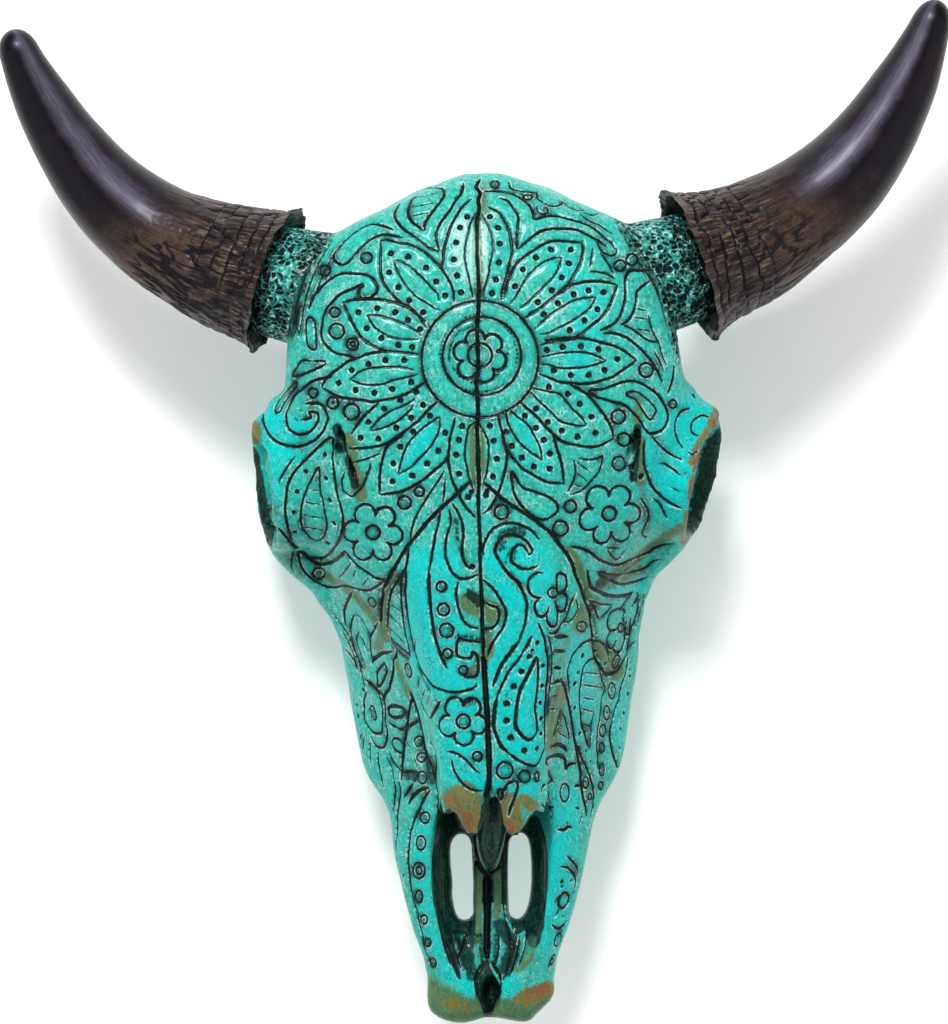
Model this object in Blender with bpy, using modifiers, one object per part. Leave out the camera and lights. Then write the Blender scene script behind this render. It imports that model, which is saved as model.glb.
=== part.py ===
"""A carved cow skull with two loose horn sheaths, lying on its teeth and the back of its head.

The face looks up along +Z, the crown points to +Y and the muzzle to -Y. X = 0 is the plane of symmetry.
The origin is on the surface that the skull lies on, under the middle of the model's box.
Every length is in millimetres until an object is made, and MM turns it into metres.
"""

import math

import bmesh
import bpy
import numpy as np
from mathutils import Matrix, Vector

MM = 0.001

# How finely the forms are fused into one bone, and how many triangles are kept of it
FUSE_VOXEL = 3.0
FINE_VOXEL = 2.6
SKULL_TRIANGLES = 6000

# Clear space between a horn core and its sheath
SHEATH_GAP = 0.45

# Height at which the teeth and the prongs are cut level, and the size of the block that cuts them
REST_Z = 0.0
GROUND_SIZE = 700

# How a grown skull strays from symmetry: its +X side sits further back, and its face bends aside,
# by a shift along X at each place along Y.
LEAN = 0.0175
SWAY = (
    (-310, 1.0),
    (-200, 1.5),
    (-175, 4.5),
    (-115, 4.0),
    (-60, 3.0),
    (-20, 0.5),
    (50, 3.0),
    (120, 1.0),
    (210, 2.5),
)
# Shift of each horn along X, and the growth of its radius at the mouth and at the tip, by side
HORN_DRIFT = {1: 1.0, -1: -3.0}
HORN_SWELL = {1: (1.11, 0.95), -1: (1.0, 1.0)}

# The skull's body, as half sections from the ridge of the face round to the middle of its underside.
# Each row is a place along Y, then (x, z) for ridge, brow, upper side, side, widest, under, floor edge and
# floor.
BODY_SECTIONS = (
    (204, (0, 139), (6, 138), (10, 135), (12, 130), (12, 124), (10, 118), (6, 114), (0, 112)),
    (200, (0, 147), (10, 146), (18, 142), (22, 135), (22, 124), (18, 112), (10, 104), (0, 101)),
    (193, (0, 155), (20, 153), (32, 147), (38, 138), (38, 122), (30, 104), (18, 92), (0, 86)),
    (184, (0, 161), (32, 158), (50, 150), (58, 138), (57, 120), (48, 92), (30, 66), (0, 56)),
    (174, (0, 165), (46, 162), (70, 152), (80, 138), (78, 118), (62, 80), (40, 44), (0, 30)),
    (160, (0, 169), (54, 166), (84, 155), (96, 140), (92, 118), (68, 70), (42, 34), (0, 24)),
    (140, (0, 173), (60, 170), (92, 159), (106, 142), (101, 116), (66, 66), (40, 28), (0, 22)),
    (105, (0, 176), (60, 173), (95, 162), (114, 144), (108, 118), (62, 68), (38, 28), (0, 24)),
    (75, (0, 176), (60, 173), (96, 161), (117, 141), (110, 114), (66, 68), (40, 30), (0, 26)),
    (45, (0, 174), (60, 170), (98, 156), (119, 134), (111, 100), (76, 58), (46, 30), (0, 27)),
    (10, (0, 170), (50, 164), (86, 148), (108, 122), (104, 88), (80, 48), (52, 22), (0, 26)),
    (-25, (0, 163), (42, 157), (70, 138), (92, 108), (98, 76), (84, 42), (60, 17), (0, 30)),
    (-60, (0, 154), (40, 147), (57, 130), (78, 96), (94, 66), (80, 38), (62, 16), (0, 34)),
    (-100, (0, 145), (33, 139), (49, 120), (72, 86), (89, 55), (76, 33), (60, 16), (0, 38)),
    (-138, (0, 134), (29, 128), (44, 111), (67, 81), (83.5, 54), (71, 35), (55, 20), (0, 42)),
    (-156, (0, 126), (28, 120), (42, 106), (62, 82), (79, 58), (69, 40), (51, 26), (0, 45)),
    (-172, (0, 118), (27, 113), (41, 102), (57, 84), (68, 65), (62, 48), (46, 34), (0, 49)),
    (-186, (0, 111), (26, 108), (40, 100), (54, 86), (62.5, 72), (58, 55), (43, 44), (0, 52)),
    (-206, (0, 105), (25, 103), (39, 98), (52, 87), (60, 74), (56, 58), (40, 50), (0, 55)),
    (-230, (0, 98), (23, 97), (37, 93), (48, 84), (54.5, 73), (51, 60), (36, 55), (0, 57)),
    (-252, (0, 93), (20, 92), (33, 89), (43, 81), (48, 71), (45, 61), (32, 57), (0, 58)),
    (-268, (0, 90), (18, 89), (29, 86), (38, 79), (41.5, 70), (39, 61), (28, 57), (0, 58)),
    (-284, (0, 87), (17, 86), (27, 83), (36, 77), (38.5, 69), (36, 60), (26, 56), (0, 57)),
    (-297, (0, 81), (14, 81), (24, 79), (31, 74), (34, 68), (31, 61), (23, 57), (0, 57)),
    (-305, (0, 75), (10, 75), (17, 73), (22, 71), (24, 67), (22, 63), (16, 60), (0, 60)),
)

# The two nasal bones, raised over the face and running out over the nose opening.
NASAL_SECTIONS = (
    (16, (0, 171), (4, 171), (8, 169), (10, 166), (10, 158), (8, 153), (4, 151), (0, 151)),
    (2, (0, 171), (14, 170), (25, 166), (30, 159), (29, 150), (20, 143), (10, 140), (0, 140)),
    (-18, (0, 170), (20, 168), (35, 162), (42, 153), (41, 142), (28, 132), (14, 128), (0, 128)),
    (-42, (0, 167), (24, 165), (39, 158), (46, 148), (45, 136), (30, 126), (14, 124), (0, 124)),
    (-72, (0, 161), (22, 159), (36, 152), (43, 142), (42, 130), (30, 122), (14, 122), (0, 122)),
    (-100, (0, 156), (20, 154), (33, 147), (40, 137), (39, 126), (28, 123), (12, 125), (0, 127)),
    (-124, (0, 151), (18, 149), (30, 143), (36, 133), (35, 124), (27, 121), (12, 124), (0, 127)),
    (-145, (0, 147), (17, 145), (27, 139), (32.5, 130), (31.5, 122), (25, 120), (11, 124), (0, 126)),
    (-166, (0, 142), (15, 140), (24, 135), (29, 128), (28, 122), (22, 120), (10, 124), (0, 125)),
)

# The nose opening, cut down through the face: place along Y, half widths of mouth and floor, floor height.
NOSE_SECTIONS = (
    (-158, 24, 15, 74),
    (-176, 33, 22, 73),
    (-200, 37, 26, 73),
    (-225, 37, 26, 73),
    (-245, 34, 22, 74),
    (-262, 28, 14, 77),
    (-277, 19, 8, 81),
    (-286, 10, 4, 85),
)
NOSE_MOUTH_Z = 150

# From here on a line is the middle of a round limb on the +X side, as (x, y, z, radius).
# The -X side is its mirror image. This one is the horn, with its sheath's outer radius.
HORN_LINE = (
    (119, 144.5, 118, 43.0),
    (131, 148.5, 115.5, 40.5),
    (145, 153, 112.5, 38.8),
    (159, 158, 110, 36.8),
    (173, 164.5, 108.5, 34.6),
    (187, 173, 107.5, 32.3),
    (200, 183, 107.5, 29.9),
    (213, 195, 109, 27.2),
    (224.5, 208, 111, 24.8),
    (235, 222.5, 114, 22.4),
    (245, 237.5, 117, 20.2),
    (254, 253, 120.5, 17.8),
    (262, 269, 124.5, 14.8),
    (268, 283, 128, 11.8),
)
HORN_TIP = (271.0, 292.5, 130.5, 5.0)

# The bone core inside each sheath, how many of its points are fused to the bone, and where its plug starts.
CORE_LINE = (
    (70, 134, 124, 38),
    (92, 137.5, 122, 35.5),
    (106, 141, 120.5, 34.5),
    (119, 144.5, 118, 33.5),
    (132, 149, 115, 31.5),
    (150, 155.5, 111.5, 27.5),
    (168, 163, 109, 21.5),
)
CORE_FUSED = 3
PLUG_FIRST = 1

# The flared mouth of a sheath, and how far the bore reaches past the end of the plug
MOUTH_LINE = (
    (104, 140.5, 121, 41),
    (118, 144.5, 118.5, 38.5),
    (126, 147, 116.5, 35),
    (136, 150.5, 114, 31.5),
)
BORE_REACH = (2.2, 0.9, -0.2)

# The eye: centre of the rim with its two radii and its axis, the bone wall behind it, and the brow over it
ORBIT_RIM = ((124.5, 27, 99), 38, 8, (1, -0.2, 0.2))
ORBIT_WALL = ((72, 34, 92, 50), (92, 32.5, 94.5, 49), (110, 29.8, 96.7, 47), (123, 27.3, 98.7, 44))
BROW_EDGE = ((118, 54, 127), (22, 25, 14), (0, 18, -16))

# The cheek bone, and the arch from it back to the ear
CHEEK = ((80, -70, 66, 12), (88, -48, 66, 14), (103, -28, 68, 15.5), (114, -8, 70, 14), (117, 18, 62, 12))
CHEEK_ARCH = (
    (112, -8, 62, 13),
    (115, 20, 55, 11),
    (113, 48, 52, 9.5),
    (107, 76, 52, 9),
    (96, 104, 56, 10),
    (78, 128, 62, 14),
)
CHEEK_ARCH_DEPTH = 1.25

# The back of the head: neck joint knobs, prongs beside them, rim under the crown, and ear bullae
NECK_KNOB = ((24, 158, 40, 18), (25, 170, 31, 19), (26, 175, 21, 17), (24, 172, 10, 12))
SIDE_PRONG = ((66, 152, 74, 16), (63, 152, 46, 13), (59, 149, 22, 10.5), (56, 146, -3, 8.5))
NECK_RIM = ((0, 190, 124, 12), (28, 188, 120, 12), (52, 179, 108, 11), (72, 166, 90, 12), (70, 156, 66, 12))
EAR_BULLA = ((42, 116, 26), (15, 22, 16), (0, 0, 12))

# The two lobes at the end of the muzzle, and the plates beside the throat, with the depth of each
MUZZLE_LOBE = ((9, -296, 71, 10), (20, -298, 71, 11), (29.5, -293, 71, 10), (33, -282, 71, 7))
MUZZLE_LOBE_DEPTH = 1.2
THROAT_PLATE = ((30, -38, 26, 7), (27, 0, 16, 6), (27, 40, 18, 6), (30, 80, 26, 8))
THROAT_PLATE_DEPTH = 2.2

# Cheek teeth from front to back: length along the jaw, width, and height of the underside
TEETH = ((18, 17, 10), (18, 17, 4), (18, 17, -2), (27, 23, -2), (27, 23, -2), (27, 23, -2))
TEETH_START = -172
TOOTH_HEIGHT = 44
TOOTH_GAP = 3.5
TOOTH_ROUNDING = 6
JAW_HALF_WIDTH = 51
JAW_BULGE = 3

# The free ends of the two nasal bones
NASAL_TIP = ((13, -144, 138, 12.5), (13.5, -160, 135.5, 12.5), (13, -174, 132, 10), (11.5, -188, 128.5, 4.5))
NASAL_TIP_DEPTH = 0.5
NASAL_PRONG = ((26, -144, 131, 6), (27.5, -162, 127, 5.5), (28, -176, 123.5, 3.5))

# The thin wall and the pair of rods in the nose opening
NOSE_WALL = ((0, -140, 100, 8), (0, -168, 98, 9), (0, -190, 92, 9.5), (0, -207, 82, 6))
NOSE_WALL_DEPTH = 2.4
NOSE_ROD = ((5.6, -190, 71, 5.8), (5.6, -225, 71, 5.4), (5.8, -250, 72, 5.6), (9, -272, 75, 6.5))

# What is hollow: each a line, the depth of its section, and whether it is there on both sides
HOLLOWS = {
    "nose_passage": (
        (
            (0, -200, 92, 20),
            (0, -165, 96, 24),
            (0, -130, 98, 26),
            (0, -95, 98, 25),
            (0, -60, 96, 20),
            (0, -30, 90, 12),
        ),
        0.95,
        False,
    ),
    "fissure": (
        (
            (17, -192, 66, 4),
            (18, -200, 66, 6.6),
            (18.5, -217, 66, 7.2),
            (17.5, -234, 66, 6.6),
            (15.5, -247, 66, 4),
        ),
        6,
        True,
    ),
    "eye_socket": (
        (
            (72, 32, 92, 12),
            (88, 31, 94, 22),
            (106, 29.5, 96, 31.5),
            (124.5, 27, 99, 38),
            (150, 21.5, 104.5, 43),
        ),
        0.98,
        True,
    ),
    "temple_hollow": (
        ((94, 84, 82, 8), (94, 94, 82, 15), (92, 110, 83, 19), (91, 128, 84, 18), (92, 142, 84, 9)),
        1.5,
        True,
    ),
    "palate_hollow": (
        ((0, -165, 14, 20), (0, -130, 8, 29), (0, -90, 6, 32), (0, -50, 6, 31), (0, -18, 6, 24)),
        0.8,
        False,
    ),
    "throat": (((0, -30, 12, 20), (0, -8, 24, 20), (0, 12, 34, 16), (0, 30, 40, 10)), 1, False),
    "spine_hole": (((0, 205, 46, 19), (0, 180, 47, 16), (0, 160, 50, 14), (0, 136, 56, 10)), 1, False),
}

# Sharp hollows cut last, as round solids: centre, half axes and turn
BROW_SLOT = ((85, 37, 160), (2.8, 16, 13), (0, 12, -9))
MUZZLE_NOTCH = ((0, -289, 88), (6, 13, 22))

# Facets: sides round a plug and its bore, sides round a sheath, steps of a loft along it and round it
PLUG_SIDES = 20
SHEATH_SIDES = 24
LOFT_STEPS = (4, 3)

# Plain colours of the model, with the roughness of each
BONE_LOOK = ((0.05, 0.55, 0.48), 0.4)
HORN_LOOK = ((0.03, 0.018, 0.014), 0.3)


def clear_scene():
    """Removes every object of the open scene."""
    for obj in list(bpy.data.objects):
        bpy.data.objects.remove(obj)


def collection(name):
    """A new collection in the scene."""
    made = bpy.data.collections.new(name)
    bpy.context.scene.collection.children.link(made)
    return made


def add_object(name, mesh, where):
    """A new object for a mesh, linked to one collection."""
    obj = bpy.data.objects.new(name, mesh)
    where.objects.link(obj)
    return obj


def mesh_object(name, bm, where):
    """A new object from a bmesh in millimetres, which is freed."""
    bmesh.ops.recalc_face_normals(bm, faces=bm.faces)
    bmesh.ops.scale(bm, vec=(MM, MM, MM), verts=bm.verts)
    mesh = bpy.data.meshes.new(name)
    bm.to_mesh(mesh)
    bm.free()
    return add_object(name, mesh, where)


def spline_through(points, steps):
    """Points on a smooth curve through the given points, with this many steps between each two."""
    rows = np.array(points, float)
    ends = np.vstack([2 * rows[0] - rows[1], rows, 2 * rows[-1] - rows[-2]])
    out = []
    for i in range(len(rows) - 1):
        a, b, c, d = ends[i : i + 4]
        for t in np.arange(steps) / steps:
            bend = (2 * a - 5 * b + 4 * c - d) * t**2 + (3 * b - a - 3 * c + d) * t**3
            out.append(0.5 * (2 * b + (c - a) * t + bend))
    out.append(rows[-1])
    return np.array(out)


def loft_rings(bm, rings):
    """Joins closed rings of equally many points with quads, and closes both ends."""
    verts = [[bm.verts.new(p) for p in ring] for ring in rings]
    count = len(verts[0])
    for low, high in zip(verts, verts[1:]):
        for i in range(count):
            j = (i + 1) % count
            bm.faces.new((low[i], low[j], high[j], high[i]))
    bm.faces.new(verts[0])
    bm.faces.new(verts[-1])


def section_loft(name, sections, where):
    """A closed body through mirrored half sections: smooth from one to the next, and round each of them."""
    along, around = LOFT_STEPS
    stations = np.array([[s[0], *[v for point in s[1:] for v in point]] for s in sections], float)
    bm = bmesh.new()
    rings = []
    for row in spline_through(stations, along):
        half = spline_through(row[1:].reshape(-1, 2), around)
        right = [(x, row[0], z) for x, z in half]
        left = [(-x, row[0], z) for x, z in half[1:-1][::-1]]
        rings.append(right + left)
    loft_rings(bm, rings)
    return mesh_object(name, bm, where)


def frame_along(points):
    """For each point of a path, two unit vectors across it that don't twist."""
    tangents = np.gradient(points, axis=0)
    tangents /= np.linalg.norm(tangents, axis=1)[:, None]
    side = np.cross(tangents[0], (0, 0, 1))
    frames = []
    for tangent in tangents:
        side = side - tangent * (side @ tangent)
        side /= np.linalg.norm(side)
        frames.append((side, np.cross(side, tangent)))
    return frames


def limb(name, line, where, sides=20, steps=3, depth=1.0, mirror=1):
    """A limb of round section along a smooth line of (x, y, z, radius); depth scales the section in Z."""
    rows = spline_through(line, steps)
    points = rows[:, :3] * (mirror, 1, 1)
    turns = np.arange(sides) * 2 * math.pi / sides
    bm = bmesh.new()
    rings = []
    for point, (side, up), radius in zip(points, frame_along(points), rows[:, 3]):
        rings.append([point + radius * (math.cos(a) * side + depth * math.sin(a) * up) for a in turns])
    loft_rings(bm, rings)
    return mesh_object(name, bm, where)


def ellipsoid(name, centre, radii, turn, where, mirror=1, segments=20):
    """A round solid with three half axes, turned by degrees about X, Y and Z."""
    bm = bmesh.new()
    bmesh.ops.create_uvsphere(bm, u_segments=segments, v_segments=segments // 2, radius=1)
    spin = Matrix.Identity(4)
    for angle, axis, sign in zip(turn, "XYZ", (1, mirror, mirror)):
        spin = Matrix.Rotation(math.radians(sign * angle), 4, axis) @ spin
    x, y, z = centre
    bm.transform(Matrix.Translation((mirror * x, y, z)) @ spin @ Matrix.Diagonal((*radii, 1)))
    return mesh_object(name, bm, where)


def ring_rim(name, centre, major, minor, axis, where, mirror=1):
    """A torus round an axis."""
    bpy.ops.mesh.primitive_torus_add(
        major_segments=40, minor_segments=14, major_radius=major * MM, minor_radius=minor * MM
    )
    obj = bpy.context.object
    for owner in list(obj.users_collection):
        owner.objects.unlink(obj)
    where.objects.link(obj)
    obj.name = name
    flip = Vector((mirror, 1, 1))
    turn = Vector((0, 0, 1)).rotation_difference(Vector(axis) * flip).to_matrix().to_4x4()
    obj.data.transform(Matrix.Translation(Vector(centre) * flip * MM) @ turn)
    return obj


def both_sides(make, name, *args, **kwargs):
    """Makes the +X and the -X copy of a paired form."""
    sides = (("right", 1), ("left", -1))
    return [make(f"{name}_{word}", *args, mirror=sign, **kwargs) for word, sign in sides]


def select_only(*objects):
    """Selects these objects and makes the first one active."""
    bpy.ops.object.select_all(action="DESELECT")
    for obj in objects:
        obj.select_set(True)
    bpy.context.view_layer.objects.active = objects[0]


def joined(name, objects):
    """The objects as one object with one mesh."""
    select_only(*objects)
    bpy.ops.object.join()
    made = bpy.context.view_layer.objects.active
    made.name = name
    return made


def apply_modifier(obj, kind, **settings):
    """Adds one modifier with these settings and applies it."""
    modifier = obj.modifiers.new(kind.title(), kind)
    for key, value in settings.items():
        setattr(modifier, key, value)
    select_only(obj)
    bpy.ops.object.modifier_apply(modifier=modifier.name)


def fuse(obj, voxel):
    """Makes one skin of everything that overlaps in the object."""
    apply_modifier(obj, "REMESH", mode="VOXEL", voxel_size=voxel * MM)


def soften(obj, times):
    """Rounds the creases between fused forms."""
    apply_modifier(obj, "SMOOTH", iterations=times, factor=0.5)


def boolean(obj, other, operation):
    """Cuts, joins or keeps with another closed object, which is then removed."""
    apply_modifier(obj, "BOOLEAN", object=other, operation=operation, solver="EXACT")
    bpy.data.objects.remove(other)


def orbit_forms(where):
    """The raised ring round each eye socket, with the bone that carries it."""
    made = both_sides(ring_rim, "orbit_rim", *ORBIT_RIM, where)
    made += both_sides(limb, "orbit_wall", ORBIT_WALL, where)
    return made + both_sides(ellipsoid, "brow_edge", *BROW_EDGE, where)


def cheek_forms(where):
    """The cheek bone under each eye and the arch that runs back to the ear."""
    made = both_sides(limb, "cheek", CHEEK, where)
    return made + both_sides(limb, "cheek_arch", CHEEK_ARCH, where, depth=CHEEK_ARCH_DEPTH)


def back_forms(where):
    """The back of the head: neck joint knobs, prongs beside them, the rim under the crown and ear bullae."""
    made = both_sides(limb, "neck_knob", NECK_KNOB, where)
    made += both_sides(limb, "side_prong", SIDE_PRONG, where)
    made += both_sides(limb, "neck_rim", NECK_RIM, where)
    return made + both_sides(ellipsoid, "ear_bulla", *EAR_BULLA, where)


def muzzle_forms(where):
    """The swollen ends of the muzzle, and the plates beside the throat."""
    made = both_sides(limb, "muzzle_lobe", MUZZLE_LOBE, where, depth=MUZZLE_LOBE_DEPTH)
    return made + both_sides(limb, "throat_plate", THROAT_PLATE, where, depth=THROAT_PLATE_DEPTH)


def tooth_row(where, mirror):
    """The cheek teeth of one side as rounded blocks, whose undersides are ground level later."""
    made = []
    place = TEETH_START
    for index, (length, width, underside) in enumerate(TEETH):
        across = JAW_HALF_WIDTH + JAW_BULGE * math.sin(math.pi * (index + 0.5) / len(TEETH))
        centre = (mirror * across, place + length / 2, underside + TOOTH_HEIGHT / 2)
        bm = bmesh.new()
        bmesh.ops.create_cube(bm, size=1)
        bmesh.ops.scale(bm, vec=(width, length - TOOTH_GAP, TOOTH_HEIGHT), verts=bm.verts)
        bmesh.ops.bevel(bm, geom=bm.edges, offset=TOOTH_ROUNDING, segments=3, profile=0.5, affect="EDGES")
        bmesh.ops.translate(bm, vec=centre, verts=bm.verts)
        made.append(mesh_object(f"tooth_{index}", bm, where))
        place += length
    return made


def nose_cutter(where):
    """The pear-shaped nose opening, narrower at its floor."""
    lip, shoulder = 98, 9
    bm = bmesh.new()
    rings = []
    for y, mouth, bottom, floor in spline_through(NOSE_SECTIONS, 3):
        middle = ((mouth + bottom) / 2, floor + shoulder)
        profile = ((mouth + 4, NOSE_MOUTH_Z), (mouth, lip), middle, (bottom, floor))
        right = [(x, y, z) for x, z in profile]
        rings.append(right + [(-x, y, z) for x, y, z in right[::-1]])
    loft_rings(bm, rings)
    return mesh_object("nose_cutter", bm, where)


def hollow_forms(where):
    """Everything that is hollow in the bone, as solids to cut away."""
    made = [nose_cutter(where)]
    for name, (line, depth, paired) in HOLLOWS.items():
        if paired:
            made += both_sides(limb, name, line, where, depth=depth)
        else:
            made.append(limb(name, line, where, depth=depth))
    return made


def nose_fittings(where):
    """What is in the nose opening or hangs over it: the thin wall, the pair of rods and the nasal tips."""
    made = [limb("nose_wall", NOSE_WALL, where, depth=NOSE_WALL_DEPTH)]
    made += both_sides(limb, "nose_rod", NOSE_ROD, where)
    made += both_sides(limb, "nasal_tip", NASAL_TIP, where, depth=NASAL_TIP_DEPTH)
    return made + both_sides(limb, "nasal_prong", NASAL_PRONG, where)


def bone_skin(where, cutters):
    """The whole skull bone as one closed skin of small quads, without the plugs that hold the sheaths."""
    forms = [section_loft("body", BODY_SECTIONS, where), section_loft("nasals", NASAL_SECTIONS, where)]
    forms += orbit_forms(where) + cheek_forms(where) + back_forms(where) + muzzle_forms(where)
    forms += both_sides(limb, "horn_core", CORE_LINE[:CORE_FUSED], where)
    forms += tooth_row(where, 1) + tooth_row(where, -1)
    bone = joined("skull", forms)
    fuse(bone, FUSE_VOXEL)
    soften(bone, 5)
    hollows = joined("hollows", hollow_forms(cutters))
    fuse(hollows, FUSE_VOXEL)
    boolean(bone, hollows, "DIFFERENCE")
    bone = joined("skull", [bone, *nose_fittings(where)])
    fuse(bone, FINE_VOXEL)
    soften(bone, 3)
    return bone


def stray(obj):
    """Bends a symmetric form a little, the way that a grown skull strays from symmetry."""
    for vertex in obj.data.vertices:
        x, y, z = vertex.co / MM
        in_horn = min(max((abs(x) - 120) / 60, 0), 1)
        above_nose = min(max((y + 150) / 200, 0), 1)
        bend = float(np.interp(y, *zip(*SWAY)))
        sway = bend * (1 - in_horn) + HORN_DRIFT[1 if x > 0 else -1] * in_horn
        vertex.co = Vector((x + sway, y + LEAN * x * above_nose, z)) * MM


def plug_line(gap=0.0):
    """The part of the core that fills a sheath, grown by a gap."""
    return [(x, y, z, radius + gap) for x, y, z, radius in CORE_LINE[PLUG_FIRST:]]


def ground_block(where):
    """A block whose top is the level that the skull rests on."""
    bm = bmesh.new()
    bmesh.ops.create_cube(bm, size=GROUND_SIZE)
    bmesh.ops.translate(bm, vec=(0, 0, REST_Z - GROUND_SIZE / 2), verts=bm.verts)
    return mesh_object("ground", bm, where)


def skull(where, cutters):
    """The skull bone with its two horn plugs, cut level where it rests."""
    bone = bone_skin(where, cutters)
    triangles = 2 * len(bone.data.polygons)
    apply_modifier(bone, "DECIMATE", ratio=SKULL_TRIANGLES / triangles)
    for plug in both_sides(limb, "plug", plug_line(), where, sides=PLUG_SIDES, steps=2):
        boolean(bone, plug, "UNION")
    for slot in both_sides(ellipsoid, "brow_slot", *BROW_SLOT, cutters):
        boolean(bone, slot, "DIFFERENCE")
    boolean(bone, ellipsoid("muzzle_notch", *MUZZLE_NOTCH, (0, 0, 0), cutters), "DIFFERENCE")
    stray(bone)
    boolean(bone, ground_block(cutters), "DIFFERENCE")
    return bone


def sheath(name, mirror, where, cutters):
    """One horn sheath: a hollow cone over the core, flared at its mouth and solid towards its tip."""
    swell = np.linspace(*HORN_SWELL[mirror], len(HORN_LINE))
    line = [(x, y, z, radius * share) for (x, y, z, radius), share in zip(HORN_LINE, swell)]
    horn = limb(name, (*line, HORN_TIP), where, sides=SHEATH_SIDES, steps=1, mirror=mirror)
    bore = plug_line(SHEATH_GAP)
    *end, radius = bore[-1]
    bore[-1] = (*(place + reach for place, reach in zip(end, BORE_REACH)), radius)
    boolean(horn, limb("bore", bore, cutters, sides=PLUG_SIDES, steps=2, mirror=mirror), "DIFFERENCE")
    boolean(horn, limb("mouth", MOUTH_LINE, cutters, sides=PLUG_SIDES, steps=1, mirror=mirror), "DIFFERENCE")
    stray(horn)
    return horn


def centre_on_origin(pieces):
    """Moves the pieces together, so that the middle of their box is over the origin."""
    points = np.vstack([[vertex.co[:] for vertex in piece.data.vertices] for piece in pieces])
    middle = (points.min(axis=0) + points.max(axis=0)) / 2
    for piece in pieces:
        piece.data.transform(Matrix.Translation((-middle[0], -middle[1], 0)))


def finish(obj, colour, roughness):
    """Gives an object its own material and shades it smooth."""
    obj.data.name = obj.name
    material = bpy.data.materials.new(obj.name)
    material.use_nodes = True
    surface = material.node_tree.nodes["Principled BSDF"]
    surface.inputs["Base Color"].default_value = (*colour, 1)
    surface.inputs["Roughness"].default_value = roughness
    surface.inputs["Metallic"].default_value = 0.0
    obj.data.materials.clear()
    obj.data.materials.append(material)
    obj.data.shade_smooth()


def main():
    """Builds the skull and its two sheaths."""
    clear_scene()
    where = collection("carved_cow_skull")
    cutters = collection("cutters")
    bone = skull(where, cutters)
    horns = [sheath("horn_right", 1, where, cutters), sheath("horn_left", -1, where, cutters)]
    centre_on_origin([bone, *horns])
    finish(bone, *BONE_LOOK)
    for horn in horns:
        finish(horn, *HORN_LOOK)


main()
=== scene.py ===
"""A carved, painted and varnished cow skull with two horn sheaths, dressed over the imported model.

The bone is one skin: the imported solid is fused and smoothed, made finer along every carved line, and cut
by real grooves. Carved lines are listed where the camera sees them and laid on the bone by rays.
Lengths are in millimetres until a mesh is made, and MM turns them into metres.
"""

from __future__ import annotations

import logging
import math
from dataclasses import dataclass, field
from enum import Enum
from functools import partial
from typing import Any, Sequence

import bpy
import numpy as np
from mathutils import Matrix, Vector
from mathutils.bvhtree import BVHTree
from mathutils.kdtree import KDTree


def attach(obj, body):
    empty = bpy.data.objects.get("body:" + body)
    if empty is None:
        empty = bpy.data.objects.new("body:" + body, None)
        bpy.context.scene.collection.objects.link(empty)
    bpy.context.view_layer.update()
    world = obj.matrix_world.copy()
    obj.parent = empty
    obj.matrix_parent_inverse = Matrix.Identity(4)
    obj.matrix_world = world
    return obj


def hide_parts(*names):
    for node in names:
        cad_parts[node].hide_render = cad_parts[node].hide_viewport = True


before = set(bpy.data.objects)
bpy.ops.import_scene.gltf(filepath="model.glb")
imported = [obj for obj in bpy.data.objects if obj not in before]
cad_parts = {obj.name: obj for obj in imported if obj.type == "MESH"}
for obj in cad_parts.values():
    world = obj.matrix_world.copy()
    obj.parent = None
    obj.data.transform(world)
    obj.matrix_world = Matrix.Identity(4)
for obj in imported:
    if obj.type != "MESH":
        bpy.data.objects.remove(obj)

LOG = logging.getLogger("skull")
MM = 0.001
FAR = 99.0
# How far apart the points of a line and of a stain are in the picture
LINE_STEP = 0.4
STAIN_STEP = 4.0
Array = np.ndarray
Shade = tuple[int, int, int]


class Cut(Enum):
    """How broad and how deep a carved line is, as half width and depth in millimetres."""

    HAIR = (0.42, 0.4)
    FINE = (0.62, 0.7)
    RING = (0.66, 0.8)
    LINE = (0.84, 1.0)
    BOLD = (1.15, 1.25)
    CRACK = (1.05, 2.2)
    SEAM = (1.75, 2.8)
    SLOT = (2.0, 4.6)


class Tint(Enum):
    """What a stain on the paint is, by the name of its attribute on the bone; some are painted shade and
    painted glints.
    """

    CYAN = "cyan"
    OLIVE = "olive"
    OCHRE = "ochre"
    RUST = "rust"
    SOOT_AND_SHADE = "soot"
    PALE_AND_GLINT = "pale"
    # Painted shade on the dark insides that the camera sees
    HOLLOW = "hollow"


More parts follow.
